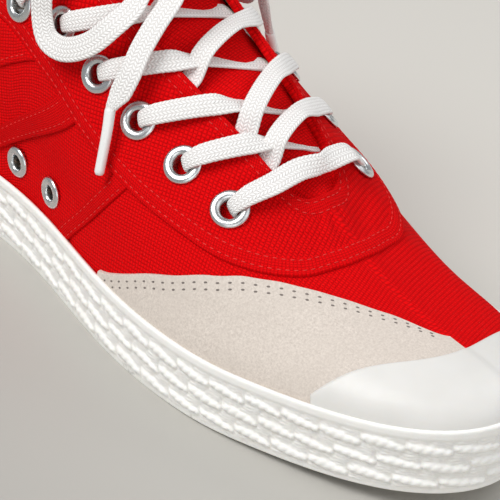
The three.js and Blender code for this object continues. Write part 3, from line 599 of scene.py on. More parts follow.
def make_eyelet(name, place, size, face):
    """A pressed ring: rolled flange on the face, barrel through the cloth and a washer behind."""
    flange, hole = size["flange"], size["hole"]
    t, s = place
    ground = float(relief(t, s, last(t, s)))
    middle, half = (flange + hole) / 2, (flange - hole) / 2
    back = -WALL - RING["slack"] - face - max(ground, 0.0)
    barrel = hole + RING["barrel"]
    arc = np.linspace(0, math.pi, 11)
    profile = [(middle + half * math.cos(a), RING["rise"] * math.sin(a) ** 0.8) for a in arc]
    profile += [(hole, back - WASHER["thick"]), (hole + WASHER["curl"], back - WASHER["deep"])]
    profile += [(flange - WASHER["lip"], back - WASHER["thick"]), (flange - WASHER["edge"], back)]
    profile += [(barrel, back), (barrel, -RING["sunk"]), (flange - RING["lip"], -RING["sunk"])]
    reach, high = np.array(profile).T
    axis = normal(t, s)
    across = unit(np.cross(axis, UP))
    beside = np.cross(axis, across)
    angle = np.linspace(0, 2 * math.pi, RING["sides"] + 1)[:-1, None]
    out = across * np.cos(angle) + beside * np.sin(angle)
    rings = skin(t, s, face + ground) + out[:, None] * reach[:, None] + axis * high[:, None]
    uv = np.stack(np.meshgrid(np.arange(RING["sides"] + 1), np.arange(len(reach) + 1), indexing="ij"), -1)
    return make_tube(name, rings, uv, [STEEL], closed=True, slot="steel", replaces=[name])


# Laces. A lace is drawn through rows of its place, its face, its width and its thickness.
LACE = {"width": 7.3, "thick": 1.2, "scallop": 0.02, "scallop_pitch": 1.6, "sides": 16}
ROW_WIDTH = 6


def smooth_line(rows, spacing=0.8):
    """Evenly spaced rows on a curve through the given ones. What follows the place goes by straight lines."""
    rows = np.asarray(rows, float)
    before, after = 2 * rows[0, :3] - rows[1, :3], 2 * rows[-1, :3] - rows[-2, :3]
    p = np.concatenate([[before], rows[:, :3], [after]])
    knots = np.concatenate([[0], np.cumsum(np.linalg.norm(np.diff(p, axis=0), axis=1) ** 0.5)])
    fine, index = [], []
    for k in range(1, len(p) - 2):
        span = knots[k + 1] - knots[k]

        def slope(i):
            behind = (p[i] - p[i - 1]) / (knots[i] - knots[i - 1])
            ahead = (p[i + 1] - p[i]) / (knots[i + 1] - knots[i])
            whole = (p[i + 1] - p[i - 1]) / (knots[i + 1] - knots[i - 1])
            return (behind - whole + ahead) * span

        m0, m1 = slope(k), slope(k + 1)
        f = np.linspace(0, 1, 25)[:-1, None]
        fine.append(p[k] * (2 * f**3 - 3 * f**2 + 1) + m0 * (f**3 - 2 * f**2 + f)
                    + p[k + 1] * (3 * f**2 - 2 * f**3) + m1 * (f**3 - f**2))
        index.append(k - 1 + f[:, 0])
    fine = np.concatenate(fine + [p[-2:-1]])
    index = np.concatenate(index + [[len(rows) - 1]])
    gone = distance_along(fine)
    even = np.linspace(0, gone[-1], max(8, int(gone[-1] / spacing)))
    at = np.interp(even, gone, index)
    place = np.stack([np.interp(even, gone, fine[:, c]) for c in range(3)], -1)
    rest = [np.interp(at, np.arange(len(rows)), rows[:, c]) for c in range(3, rows.shape[1])]
    return np.concatenate([place, np.stack(rest, -1)], 1) if rest else place


def ribbon(name, rows, replaces=()):
    """Flat lace along its rows, with rounded, slightly scalloped edges and closed ends."""
    line = smooth_line(rows)
    place, face, width, thick = line[:, :3], line[:, 3:6], line[:, 6:7], line[:, 7:8]
    along = unit(np.gradient(place, axis=0))
    across = unit(np.cross(along, face))
    face = np.cross(across, along)
    angle = np.linspace(0, 2 * math.pi, LACE["sides"], endpoint=False)
    x = np.sign(np.cos(angle)) * np.abs(np.cos(angle)) ** 0.7 / 2
    z = np.sign(np.sin(angle)) * np.abs(np.sin(angle)) ** 0.75 / 2
    gone = distance_along(place)
    wave = np.sin(gone * 2 * math.pi / LACE["scallop_pitch"])[:, None]
    scallop = 1 + LACE["scallop"] * wave * (np.abs(x) > 0.4)
    points = place[:, None] + across[:, None] * (x * width * scallop)[..., None]
    points = points + face[:, None] * (z * thick)[..., None]
    uv = np.stack(np.broadcast_arrays(np.append(x, x[0])[None] * LACE["width"], gone[:, None]), -1)
    piece = make_tube(name, points, uv, [LACE_COTTON], slot="lace_cotton", replaces=replaces)
    return piece, place, float(gone[-1])


def row(place, face, width=LACE["width"], thick=LACE["thick"]):
    return [*place, *unit(np.asarray(face, float)), width, thick]


# A lace's way through an eyelet: height over the cloth, way towards the throat, width and thickness. The rows
# over the flange count their height from its top, which is lower on the outer side.
HOLE_ROWS = ((-6.5, 1.5, 5.0, 1.3), (-2.0, 0.6, 4.4, 1.7), (1.6, 0.9, 4.5, 1.8))
FLANGE_ROWS = ((-0.7, 2.6, 5.2, 1.6), (0.0, 6.5, 6.2, 1.3))
FLANGE_TOP = (3.5, 3.1)


def through_eyelet(side, k, towards):
    """Rows from inside the shoe up through an eyelet and over its flange, leaning towards a place."""
    t, s = eyelet_place(side, k)
    out = normal(t, s)
    middle = skin(t, s, relief(t, s, last(t, s)))
    away = unit(np.asarray(towards) - middle)
    away = unit(away - out * np.dot(away, out))
    rows = [row(middle + out * up + away * gone, -away, width, thick) for up, gone, width, thick in HOLE_ROWS]
    top = FLANGE_TOP[0 if side < 0 else 1]
    for (up, gone, width, thick), face in zip(FLANGE_ROWS, (out - away, out)):
        rows.append(row(middle + out * (top + up) + away * gone, face, width, thick))
    return rows


# A crossing lace, with the inner side's value before the outer one's. It leaves its own throat edge at "own"
# ahead of its eyelet, "over" the cloth, rises by "crown" over the straight way at "shares" of it, and stops
# "short" of the other edge and "drop" below it, "across" ahead of its eyelet. Its tail goes on under the
# upper.
STRAND = {
    "own": (0.038, 0.031),
    "over": (2.1, 2.0),
    "shares": (0.36, 0.68, 0.85),
    "crown": ((0.4, 0.2, 0.0), (4.8, 6.0, 5.0)),
    "across": ((0.055, 0.056, 0.057, 0.055, 0.052, 0.05), (0.052, 0.056, 0.062, 0.049, 0.05, 0.05)),
    "drop": (3.2, 1.6),
    "short": (3.5, 1.0),
    "width": 6.7,
}
TAIL = {"ahead": 0.006, "under": 9.0, "gap": 1.0, "past": 2.0, "edge_thick": 0.9, "width": 6.4, "thick": 0.8}


def strand_rows(side, k):
    """Rows of a lace from its eyelet over its own throat edge and beneath the opposite one."""
    far = 1 if side > 0 else 0
    own = mirror(STATIONS[k] + STRAND["own"][far], side)
    step = STRAND["across"][far][k]
    other, beyond = (1 - mirror(STATIONS[k] + step + more, side) for more in (0, TAIL["ahead"]))
    top = top_of(own)
    near = skin(own, top, STRAND["over"][far] + relief(own, top, last(own, top)))
    edge = last(other, top_of(other))
    out = normal(other, 1.0)
    to_edge = unit(edge - near)
    drop, width = STRAND["drop"][far], STRAND["width"]
    end = edge - out * drop - to_edge * STRAND["short"][far]
    rows = through_eyelet(side, k, near) + [row(near, normal(own, 1.0), width)]
    for share, crown in zip(STRAND["shares"], STRAND["crown"][far]):
        rows.append(row(near * (1 - share) + end * share + UP * crown, UP, width))
    under = skin(beyond, s_from_rim(beyond, TAIL["under"]), -WALL - TAIL["gap"])
    return rows + [
        row(end, unit(UP + out), width),
        row(edge - out * (drop + TAIL["gap"]) + to_edge * TAIL["past"], out, width, TAIL["edge_thick"]),
        row(under, normal(beyond, 0.9), TAIL["width"], TAIL["thick"]),
    ]


# The bar across the toe end of the throat: steps ahead of and above its ends, place across, face and section
BAR = {"x": 203.3, "side": 15.5, "z": 60.6}
BAR_ROWS = (
    (0, -15.5, 0, (0.3, -0.4, 1), 7.3, 1.2),
    (0, -5, 1.2, (0.45, -0.1, 1), 7.3, 1.2),
    (0.8, 3, 0.8, (0.9, 0, 0.5), 6.0, 1.5),
    (0.4, 9, 0.9, (0.5, 0.2, 1), 7.3, 1.2),
    (0, 15.5, 0, (0.3, 0.4, 1), 7.3, 1.2),
)
# Where the two top strands meet under the knot
MEET = {"forward": 0.017, "over": 2.7, "x": 113.0, "side": 1.5, "z": 99.8, "lap": 0.3, "face": (0.45, 0, 0.9)}


def make_lacing():
    for k in range(1, EYELET["pairs"] - 1):
        node = f"lace_crossing_{k + 1}"
        ribbon(node, strand_rows(-1, k), [node])
        ribbon(f"{node}_outer", strand_rows(1, k), [node])
    x, z = BAR["x"], BAR["z"]
    medial = through_eyelet(-1, 0, (x, -BAR["side"], z))
    lateral = through_eyelet(1, 0, (x, BAR["side"], z))
    middle = [row((x + ahead, y, z + up), *section) for ahead, y, up, *section in BAR_ROWS]
    ribbon("lace_bottom_bar", medial + middle + lateral[::-1], ["lace_bottom_bar"])
    top = EYELET["pairs"] - 1
    for name, side in SIDES:
        edge = mirror(STATIONS[top] + MEET["forward"], side)
        over = skin(edge, top_of(edge), MEET["over"])
        end = (MEET["x"], -side * MEET["side"], MEET["z"] + MEET["lap"] * side)
        rows = through_eyelet(side, top, over) + [row(over, normal(edge, 1.0)), row(end, MEET["face"])]
        ribbon(f"lace_top_{name}", rows, ["lace_top_strands"])


# Bow. The routes of the loops and ends are listed in mm.
KNOT = {"x": 115.0, "z": 107.0, "long": 12.0, "wide": 12.0, "high": 8.5, "groove": 0.08, "wobble": 0.05}
NEAR_FACE = (0.2, -0.88, 0.44)
FAR_FACE = (0.2, 0.88, 0.44)
NEAR_LOOP = (
    (112.5, -7, 109), (114.5, -17, 108.6), (118, -27.5, 101), (120.6, -32.2, 90), (122.3, -33.2, 81.5),
    (125.7, -34, 76.8), (131, -34.2, 76), (136.3, -33.5, 77.6), (141.4, -31.2, 81.2), (145.4, -27.4, 87),
    (146.8, -19.5, 93.8), (141, -13.5, 100), (131, -11.5, 104), (123.2, -10.2, 104.8), (118.6, -7.3, 104.9),
)
FAR_LOOP = (
    (112.5, 7, 109), (113, 17, 108), (115, 28, 100.5), (117.5, 33.5, 90), (119, 34.6, 81.5),
    (123, 35.4, 75.5), (129, 35.6, 73.8), (134.5, 35.2, 75), (139, 33.2, 79), (142.5, 29.6, 85.5),
    (143, 22.5, 93), (137.5, 14.5, 99.5), (129.5, 11.8, 103.5), (123.2, 10.2, 104.8), (118.6, 7.3, 104.9),
)
NEAR_END = (
    (121.8, -0.6, 107.4), (130, 0.8, 110), (140, -0.4, 109.6), (149, -5.6, 104.2), (154.4, -13, 96.6),
    (155.4, -20, 90), (156, -25.2, 84), (156.8, -29, 78.4), (156.2, -31.6, 72.8), (155.2, -33.4, 68.6),
)
NEAR_TIP = ((155.1, -34.2, 67.6), (157, -36.6, 61.3), (159.3, -40.6, 49.8))
FAR_END = (
    (115.5, 2.6, 112.6), (123.5, 10.5, 113.8), (132.5, 18, 107), (137.5, 24.5, 98), (141, 31, 88.5),
    (143.5, 35.4, 77), (145, 37.6, 66.5),
)
FAR_TIP = ((145.1, 38.1, 65.9), (146.2, 40.9, 56.5), (147, 43.8, 45.5))
TIP = {
    "across": 3.2, "taper": 0.1, "mouth": 0.9, "end": 0.75, "seam": 0.08, "seam_at": 1.2, "seam_half": 0.25,
}
# How far the last row of an end is drawn back, its width, and the rows in the tip by share, width, thickness
LACE_END = {"back": 0.65, "width": 6.6, "in_tip": ((0.1, 2.7, 2.2), (0.5, 2.2, 2.0))}


def face_rows(places, faces):
    """A row for each place, its face turned evenly from one of the given faces to the next."""
    at = np.linspace(0, len(faces) - 1, len(places))
    faces = np.array(faces, float)
    turned = [[np.interp(a, range(len(faces)), faces[:, c]) for c in range(3)] for a in at]
    return [row(p, f) for p, f in zip(places, turned)]


def make_tip(name, places):
    """A crimped plastic tip: a thin tube with one pressed seam, narrower at its end."""
    sides = 20
    line = smooth_line([[*p, 0] for p in places])[:, :3]
    along = unit(np.gradient(line, axis=0))
    across = unit(np.cross(along, UP))
    beside = np.cross(along, across)
    radius = TIP["across"] / 2 * (1 - TIP["taper"] * np.linspace(0, 1, len(line)))
    radius[0] *= TIP["mouth"]
    radius[-1] *= TIP["end"]
    angle = np.linspace(0, 2 * math.pi, sides, endpoint=False)
    seam = 1 - TIP["seam"] * np.exp(-((angle - TIP["seam_at"]) / TIP["seam_half"]) ** 2)
    spread = across[:, None] * np.cos(angle)[:, None] + beside[:, None] * np.sin(angle)[:, None]
    points = line[:, None] + spread * (radius[:, None] * seam)[..., None]
    uv = np.stack(np.meshgrid(np.arange(len(line)), np.arange(sides + 1), indexing="ij"), -1)
    return make_tube(name, points, uv, [TIP_PLASTIC], slot="tip_plastic", replaces=[name])


def make_knot():
    """The wrap round the middle of the bow: three turns of lace side by side, drawn in at both ends."""
    rings, sides = 40, 36
    y = np.linspace(-1, 1, rings)
    turns = 1 - KNOT["groove"] + KNOT["groove"] * np.abs(np.cos(y * 1.5 * math.pi))
    radius = np.clip(1 - np.abs(y) ** 4, 0.02, 1) ** 0.5 * turns
    angle = np.linspace(0, 2 * math.pi, sides, endpoint=False)
    wobble = 1 + KNOT["wobble"] * np.sin(2 * angle[None] + 3 * y[:, None])
    x = KNOT["x"] + KNOT["long"] / 2 * radius[:, None] * np.cos(angle) * wobble
    z = KNOT["z"] + KNOT["high"] / 2 * radius[:, None] * np.sin(angle) * wobble
    points = np.stack([x, np.broadcast_to((y * KNOT["wide"] / 2)[:, None], x.shape), z], -1)
    uv = np.stack(np.broadcast_arrays(y[:, None] * 6, np.arange(sides + 1)[None]), -1)
    return make_tube("bow_knot", points, uv, [LACE_COTTON], slot="lace_cotton", replaces=["bow_knot"])


def make_bow():
    """Each loop and end is its own cord, tied at the knot. An end narrows into its tip."""
    knot = make_knot()
    for name, places, out in (("near", NEAR_LOOP, NEAR_FACE), ("far", FAR_LOOP, FAR_FACE)):
        rows = face_rows(places, (UP, out, out, out, out, UP))
        loop, path, length = ribbon(f"bow_loop_{name}", rows, [f"bow_loop_{name}"])
    ends = (("near", NEAR_END, NEAR_TIP, NEAR_FACE), ("far", FAR_END, FAR_TIP, FAR_FACE))
    for name, places, tip_places, out in ends:
        tip = make_tip(f"lace_tip_{name}", tip_places)
        rows = face_rows(places, (UP, UP, out, out))
        back = LACE_END["back"]
        rows[-1][:3] = list(np.array(rows[-1][:3]) * (1 - back) + np.array(rows[-2][:3]) * back)
        rows[-1][ROW_WIDTH] = LACE_END["width"]
        mouth, inside = np.array(tip_places[:2], float)
        for share, width, thick in LACE_END["in_tip"]:
            rows.append(row(mouth * (1 - share) + inside * share, out, width, thick))
        end, path, length = ribbon(f"lace_end_{name}", rows, [f"lace_end_{name}"])


# Upper. Its creases are listed as troughs (below 0) and ridges: t, s, run, breadth and depth in mm,
# and the turn of the run from straight round the shoe, in degrees. The last one is the outer side's dent.
CREASES = (
    (0.405, 0.88, 15, 3.0, -0.5, 30), (0.43, 0.93, 13, 2.6, 0.45, 20), (0.585, 0.9, 16, 3.0, -0.5, -35),
    (0.60, 0.82, 18, 3.5, 0.4, -30), (0.375, 0.35, 26, 5.0, -0.5, 12), (0.62, 0.55, 24, 4.5, -0.6, -20),
    (0.645, 0.62, 22, 4.0, 0.5, -15), (0.24, 0.25, 30, 6.0, -0.5, 5), (0.76, 0.28, 30, 6.0, -0.5, -5),
    (0.462, 0.965, 4, 1.2, -0.4, 70), (0.475, 0.96, 5, 1.3, 0.35, 75), (0.487, 0.965, 5, 1.2, -0.45, 85),
    (0.5, 0.96, 5, 1.3, 0.35, 90), (0.512, 0.965, 5, 1.2, -0.4, 95), (0.525, 0.96, 4, 1.3, 0.3, 105),
    (0.57, 0.82, 60, 34, -2.4, 0),
)
CREASE_DEEP = 22
BULGE = {"rise": 1.3, "from": 20.0, "fade": 9.0}
UPPER_GRID = (420, 72)


def relief(t, s, points):
    """Height of the upper over the last in mm: its creases, and its swell where the side band grips it."""
    height = np.zeros(points.shape[:-1])
    for at, up, run, breadth, depth, turn in CREASES:
        centre = last(at, up)
        e = 1e-3
        along = unit(last(at + e, up) - last(at - e, up))
        rise = unit(np.cross(normal(at, up), along))
        a = math.radians(turn)
        d = points - centre
        x = d @ (along * math.cos(a) + rise * math.sin(a))
        y = d @ (rise * math.cos(a) - along * math.sin(a))
        away = d @ normal(at, up)
        height += depth * np.exp(-(x / run) ** 2 - (y / breadth) ** 2 - (away / CREASE_DEEP) ** 2)
    above = points[..., 2] - lift(points[..., 0]) - BULGE["from"]
    return height + BULGE["rise"] * np.exp(-(above / BULGE["fade"]) ** 2)


def make_upper():
    around, up = UPPER_GRID
    t = np.linspace(0, 1, around + 1)[:-1, None]
    s = np.linspace(0, 1, up)[None] * top_of(t)
    base = last(t, s)
    ground = relief(t, s, base)
    keep = keep_clear_of_holes(base, closed=True)
    uv = cloth_uv(np.append(t, [[1.0]], 0), np.append(s, s[:1], 0))
    make_sheet("upper", skin(t, s, ground), skin(t, s, np.minimum(ground, 0) - WALL), uv, [WEAVE, LINING],
               closed=True, keep=keep, replaces=["upper"])


# Side band, in mm out from the foot line and up from the floor
BAND = {
    "foot": 3.4, "valley": 3.55, "face": 3.45, "crest": 1.05, "lip": 4.3, "lip_height": 3.2, "lip_swell": 0.5,
    "top": 3.5, "chamfer": 1.4, "rounding": 1.0,
}
BAND_INSIDE = (
    (BAND_HEIGHT - 0.25, 2.8), (BAND_HEIGHT - 1.0, 2.0), (BAND_HEIGHT - 3.0, 1.6), (14.0, 0.9), (6.0, 0.6),
    (0.0, 0.6),
)
BAND_GRID = (1320, 58)
# The ropes' rows, brick pitch, half height, slant, lean from row to row, lay of the strands and unevenness
ROPE = {
    "rows": (15.0, 9.4, 4.0), "pitch": 11.7, "half": 1.35, "slant": 1.5, "lean": -1.1, "lay": 2.5,
    "tilt": 0.75, "bend": 0.35, "stray": 0.3, "uneven": 0.12, "fibre": 0.04,
}
# The blocks between the ropes: their bowed sides, the ripples on them and the grooves that part them
BLOCK = {
    "bow": 0.6, "bow_pitch": 5.6, "floor": 0.12, "swell": 0.14, "ripple": 0.17, "ripple_pitch": 0.92,
    "stray": 0.1, "curl": 1.1, "arch": 0.3, "shake": 0.15, "groove": 0.35, "groove_half": 0.3,
}


def block_relief(u, v):
    """Rippled blocks between the ropes, two to a rope's pitch."""
    half_pitch = ROPE["pitch"] / 2
    sheared = u - ROPE["lean"] * (ROPE["rows"][0] - v) / (ROPE["rows"][0] - ROPE["rows"][1])
    bow = sheared + BLOCK["bow"] * np.cos(v * 2 * math.pi / BLOCK["bow_pitch"])
    block = np.floor(bow / half_pitch)
    q = bow / half_pitch - block
    curl = BLOCK["curl"] * q**4 - BLOCK["arch"] * np.sin(math.pi * q) + BLOCK["shake"] * np.sin(u * 1.9 + v)
    pitch = BLOCK["ripple_pitch"] + BLOCK["stray"] * np.sin(block * 2.3)
    wave = np.sin(2 * math.pi * (v - curl) / pitch + 1.7 * np.sin(block * 3.1))
    ground = BLOCK["floor"] + BLOCK["ripple"] * wave + BLOCK["swell"] * np.sin(math.pi * q) ** 0.5
    divide = np.minimum(q, 1 - q) * half_pitch
    return ground - BLOCK["groove"] * np.exp(-((divide / BLOCK["groove_half"]) ** 2))


def rope_relief(u, v):
    """The moulded pattern: rows of short twisted ropes laid as bricks, with rippled blocks between them.
    u runs along the band and v up from the floor, in mm."""
    height = block_relief(u, v)
    for r, centre in enumerate(ROPE["rows"]):
        local = (u - r * (ROPE["pitch"] / 2 + ROPE["lean"])) / ROPE["pitch"]
        number = np.floor(local)
        part = local - number
        bend = ROPE["bend"] * np.sin(math.pi * part) * np.sin(number * 1.9 + r)
        line = centre + ROPE["slant"] * (0.5 - part) + ROPE["stray"] * np.sin(number * 2.4 + r) + bend
        strand = (u - ROPE["tilt"] * (v - line)) / ROPE["lay"] + number * 0.37
        twist = np.abs(np.sin(math.pi * strand))
        taper = 0.55 + 0.55 * np.sin(math.pi * part**0.8) ** 0.8
        half = ROPE["half"] * taper * (0.82 + 0.18 * twist**0.6)
        half = half * (1 + ROPE["uneven"] * np.sin(number * 5.3 + r * 2.1))
        dome = np.clip(1 - ((v - line) / half) ** 2, 0, 1) ** 0.5
        swell = np.clip(1 - (2 * part - 1) ** 10, 0, 1) ** 0.5
        fibre = ROPE["fibre"] * np.sin(2 * math.pi * strand * 3)
        height = np.maximum(height, dome * (swell * BAND["crest"] * (0.6 + 0.4 * twist**0.5) + fibre))
    return height


def make_band():
    """The band as one closed profile carried round the shoe: moulded face, rounded lip and thin top edge."""
    count, rows = BAND_GRID
    t = np.linspace(0, 1, count + 1)
    base, out = foot(t), outward(t)
    u = distance_along(base)[:, None]
    v = np.linspace(0, 1, rows)[None] * BAND_HEIGHT
    lip = BAND_HEIGHT - BAND["lip_height"]
    ropes = rope_relief(u * np.round(u[-1] / ROPE["pitch"]) * ROPE["pitch"] / u[-1], v + 0 * u)
    above_foot = smooth_step(BAND["chamfer"] - 0.3, BAND["chamfer"] + 0.6, v)
    zone = above_foot * (1 - 0.75 * smooth_step(lip - 0.9, lip + 0.4, v))
    face = BAND["face"] + ropes * zone
    face = face - (BAND["valley"] - BAND["foot"]) * (1 - smooth_step(0, BAND["chamfer"], v))
    face = face + smooth_step(lip - 0.6, lip + 0.8, v) * BAND["lip_swell"]
    face = face - (BAND["lip"] - BAND["top"]) * (1 - rounded(BAND_HEIGHT - v, BAND["rounding"]))
    inner_v, inner = np.array(BAND_INSIDE).T
    high = np.concatenate([v + 0 * u, inner_v[None] + 0 * u], 1)
    off = np.concatenate([face, inner[None] + 0 * u], 1)
    rings = base[:, None] + out[:, None] * off[..., None]
    rings[..., 2] = lift(base[:, 0])[:, None] + high
    uv = np.stack([np.broadcast_to(u, high.shape), high], -1)
    uv = np.concatenate([uv, uv[:, :1]], 1)
    band = make_tube("side_band", rings[:-1], uv, [BAND_RUBBER], closed=True, slot="sole_rubber",
                     replaces=["side_band"])
    # Painted shade: the groove attribute darkens the rubber where it lies down between the ropes.
    shade = np.clip(1 - ropes / (0.55 * BAND["crest"]), 0, 1) * zone
    shade = np.concatenate([shade, 0 * u * inner[None]], 1)[:-1]
    groove = band.data.attributes.new("groove", "FLOAT", "POINT")
    groove.data.foreach_set("value", shade.ravel())


# Overlays on the upper
LONG_STEPS = np.linspace(0, 1.12, 91)
CLOSE = 0.15


def long_lengths(t):
    """Length up each rib of the last at LONG_STEPS, which run on past the rim."""
    curve = last(np.asarray(t, float)[:, None], LONG_STEPS)
    gone = np.cumsum(np.linalg.norm(np.diff(curve, axis=1), axis=2), axis=1)
    return np.concatenate([0 * gone[:, :1], gone], 1)


def on_lines(at, steps, lines):
    """Look up a value for each rib, where either the steps or the lines differ from rib to rib."""
    return np.array([np.interp(a, b, c) for a, b, c in zip(at, steps, lines)])


def overlay(name, t, low, high, height, materials, rows=40, inner=CLOSE, holes=False, tape=0.0, **rest):
    """A patch between two edges. height gives its face from the distances to its lower, upper and side edges.
    Cells within the tape's breadth of the lower and upper edge take material 1, laid along the edge."""
    lengths = long_lengths(t)
    steps = np.broadcast_to(LONG_STEPS, lengths.shape)
    t = np.asarray(t, float)[:, None]
    low_at, high_at = (on_lines(edge, steps, lengths) for edge in (low, high))
    span = np.maximum(high_at - low_at, 0.01)[:, None]
    up = cosine_steps(rows)[None] * span
    s = on_lines(low_at[:, None] + up, lengths, steps)
    middle = last(t, s)
    run = distance_along(middle[:, rows // 2])[:, None]
    off = height(up, span - up, np.minimum(run, run[-1] - run)) + inner
    ground = relief(t, s, middle)
    outer = skin(t, s, off + ground)
    under = skin(t, s, np.minimum(inner, off) + np.minimum(ground, 0))
    uv = cloth_uv(t, s)
    keep = keep_clear_of_holes(middle) if holes else None
    edge = np.minimum(up, span - up)
    patch = None
    if tape:
        patch = (edge[:-1, :-1] + edge[1:, 1:] < 2 * tape, np.stack(np.broadcast_arrays(run, up), -1))
    return make_sheet(name, outer, under, uv, materials, keep=keep, patch=patch, **rest)


def flat(thick, radius=0.8):
    return lambda d_low, d_high, d_side: thick * np.minimum(
        np.minimum(rounded(d_low, radius), rounded(d_high, radius)), rounded(d_side, radius))


def band_top(t):
    return s_at_height(t, foot(t)[..., 2] - SEAT + BAND_HEIGHT + LAYER_GAP)


# Toe pieces. Both run down behind the band's lip by TUCK, and the cap swells by "step" over the guard's edge.
TUCK = 0.06
CAP = {
    "middle": 0.49, "reach": 31.8, "round": 25, "spread": 0.077, "from": 0.419, "to": 0.561, "thick": 1.35,
    "step": 0.5, "edge": 1.3,
}
GUARD = {"from": 0.286, "to": 0.506, "thick": 1.15, "edge": 0.4}
GUARD_TOP = (
    (0.286, 21.8), (0.3, 26.5), (0.316, 32.4), (0.345, 39.3), (0.371, 42), (0.4, 42.2), (0.428, 41.5),
    (0.459, 40.3), (0.487, 38.9), (0.506, 36.6),
)


def cap_edge(t):
    return s_from_foot(t, CAP["reach"] - CAP["round"] * ((t - CAP["middle"]) / CAP["spread"]) ** 2)


def guard_edge(t):
    return s_at_height(t, look_up(GUARD_TOP, t, 0.006))


def way_up(t, s):
    """Length up the last from the foot line, in mm."""
    return on_each(lambda a, q: np.interp(q, S_STEPS, rib_lengths(a)), t, s)


def make_toe():
    t = CAP["from"] + (CAP["to"] - CAP["from"]) * cosine_steps(150)
    low = band_top(t) - TUCK
    guard_at, low_at = (way_up(t, s)[:, None] for s in (guard_edge(t), low))
    covered = (1 - smooth_step(GUARD["to"] - 0.004, GUARD["to"] + 0.002, t))[:, None]

    def height(d_low, d_high, d_side):
        step = CAP["step"] * (1 - smooth_step(-0.8, 1.2, low_at + d_low - guard_at)) * covered
        return (CAP["thick"] + step) * np.minimum(rounded(d_high, CAP["edge"]), rounded(d_side, CAP["edge"]))

    overlay("toe_cap", t, low, np.maximum(cap_edge(t), low + 0.005), height, [CAP_RUBBER], rows=70,
            inner=LAYER_GAP, slot="cap_rubber", replaces=["toe_cap"])
    t = GUARD["from"] + (GUARD["to"] - GUARD["from"]) * cosine_steps(260)
    low = band_top(t) - TUCK
    high = np.maximum(guard_edge(t), low + 0.004)
    overlay("toe_guard", t, low, high, flat(GUARD["thick"], GUARD["edge"]), [SUEDE], rows=60, slot="suede",
            replaces=["toe_guard"])


# Eyestay. Its breadth down from the rim goes by t from the middle of the toe. A tape runs along its outer
# border and one along the throat, each with two stitched rows.
STAY_BREADTH = (
    (0, 19), (0.05, 19.5), (0.1, 25), (0.15, 33), (0.2, 36), (0.25, 37), (0.29, 35), (0.315, 21), (0.335, 8),
)
STAY_END = 0.335
STAY_GAP = 0.1
TAPE = {"breadth": 5.6, "rise": 0.35, "rows": (1.6, 4.9), "cloth": 0.75, "groove": 0.26, "groove_half": 0.5}


def stay_breadth(t):
    return look_up(STAY_BREADTH, np.abs(t - 0.5), 0.012)


def stay_edge(t):
    return s_from_rim(t, stay_breadth(t))


def groove_at(d, place, depth, half):
    return depth * np.exp(-((d - place) / half) ** 2)


def stay_height(d_low, d_high, d_side):
    """Thickness of the eyestay from the distances to its edges."""
    off = TAPE["cloth"] + 0 * d_low
    for d in (d_low, d_high):
        off = off + TAPE["rise"] * (1 - smooth_step(TAPE["breadth"] - 0.5, TAPE["breadth"] + 0.4, d))
        for place in TAPE["rows"]:
            off = off - groove_at(d, place, TAPE["groove"], TAPE["groove_half"])
    return off * np.minimum(np.minimum(rounded(d_low, 0.8), rounded(d_high, 1.0)), rounded(d_side, 1.0))


# Slanting strips on the quarter: t at the foot line, slant up to the rim, breadth, bend, and thickness in mm
SEAM = {"start": 0.2485, "slant": 0.0845, "breadth": 0.0099, "bend": 0.002, "thick": 0.75}
STRAP = {"start": 0.1655, "slant": 0.1555, "breadth": 0.017, "bend": 0.009, "thick": 1.0}
STRIP = {
    "tuck": 0.04, "under_stay": 0.015, "edge": 0.7, "row": 1.3, "groove": 0.2, "groove_half": 0.4, "gap": 0.1,
}


def strip_middle(size, side, share, s, ends):
    """Where a slanting strip runs: share goes over its breadth, s up the last between its two ends."""
    run = np.clip((s - ends[0]) / (ends[1] - ends[0]), 0, 1)
    place = size["start"] + size["slant"] * s - size["breadth"] * share + 4 * size["bend"] * run * (1 - run)
    return mirror(place, side)


def strip_ends(size, side):
    s = np.linspace(0, 1, 400)
    middle = mirror(size["start"] + size["slant"] * s - size["breadth"] / 2, side)
    fits = (s > band_top(middle) - STRIP["tuck"]) & (s < stay_edge(middle) + STRIP["under_stay"])
    return s[fits][0], s[fits][-1]


def strip(name, size, side):
    """A slanting strip from the side band up to the eyestay, across and along."""
    ends = strip_ends(size, side)
    along = np.linspace(*ends, 130)[:, None]
    q = cosine_steps(16)[None]
    t = strip_middle(size, side, q, along, ends)
    points = last(t, along + 0 * q)
    width = np.linalg.norm(points[:, -1] - points[:, 0], axis=-1)[:, None]
    d = np.minimum(q, 1 - q) * width
    off = size["thick"] * rounded(d, STRIP["edge"])
    off = off - groove_at(d, STRIP["row"], STRIP["groove"], STRIP["groove_half"])
    ground = relief(t, along + 0 * q, points)
    base = skin(t, along + 0 * q, STRIP["gap"] + np.minimum(ground, 0))
    outer = skin(t, along + 0 * q, STRIP["gap"] + 0.02 + np.maximum(off, 0.02) + ground)
    gone = distance_along(points[:, 8])[:, None]
    uv = np.stack(np.broadcast_arrays(q * width, gone), -1)
    make_sheet(name, outer, base, uv, [TAPE_WEAVE], replaces=[name])


# Heel and ankle: half the strip's breadth in t, the binding's sizes in mm, the panel's lower edge as t and s
HEEL_STRIP = {"half": 0.018, "thick": 1.0}
BINDING = {"drop": 6.0, "thick": 0.9, "gap": 0.2, "flat": 0.42}
PANEL = {"front": 0.21, "gap": 0.004, "thick": 0.8}
PANEL_EDGE = ((0, 0.42), (0.1, 0.38), (0.15, 0.36), (0.175, 0.41), (0.203, 0.52), (0.215, 0.58))


def panel_edge(t, side):
    return look_up(PANEL_EDGE, mirror(t, side), 0.006)


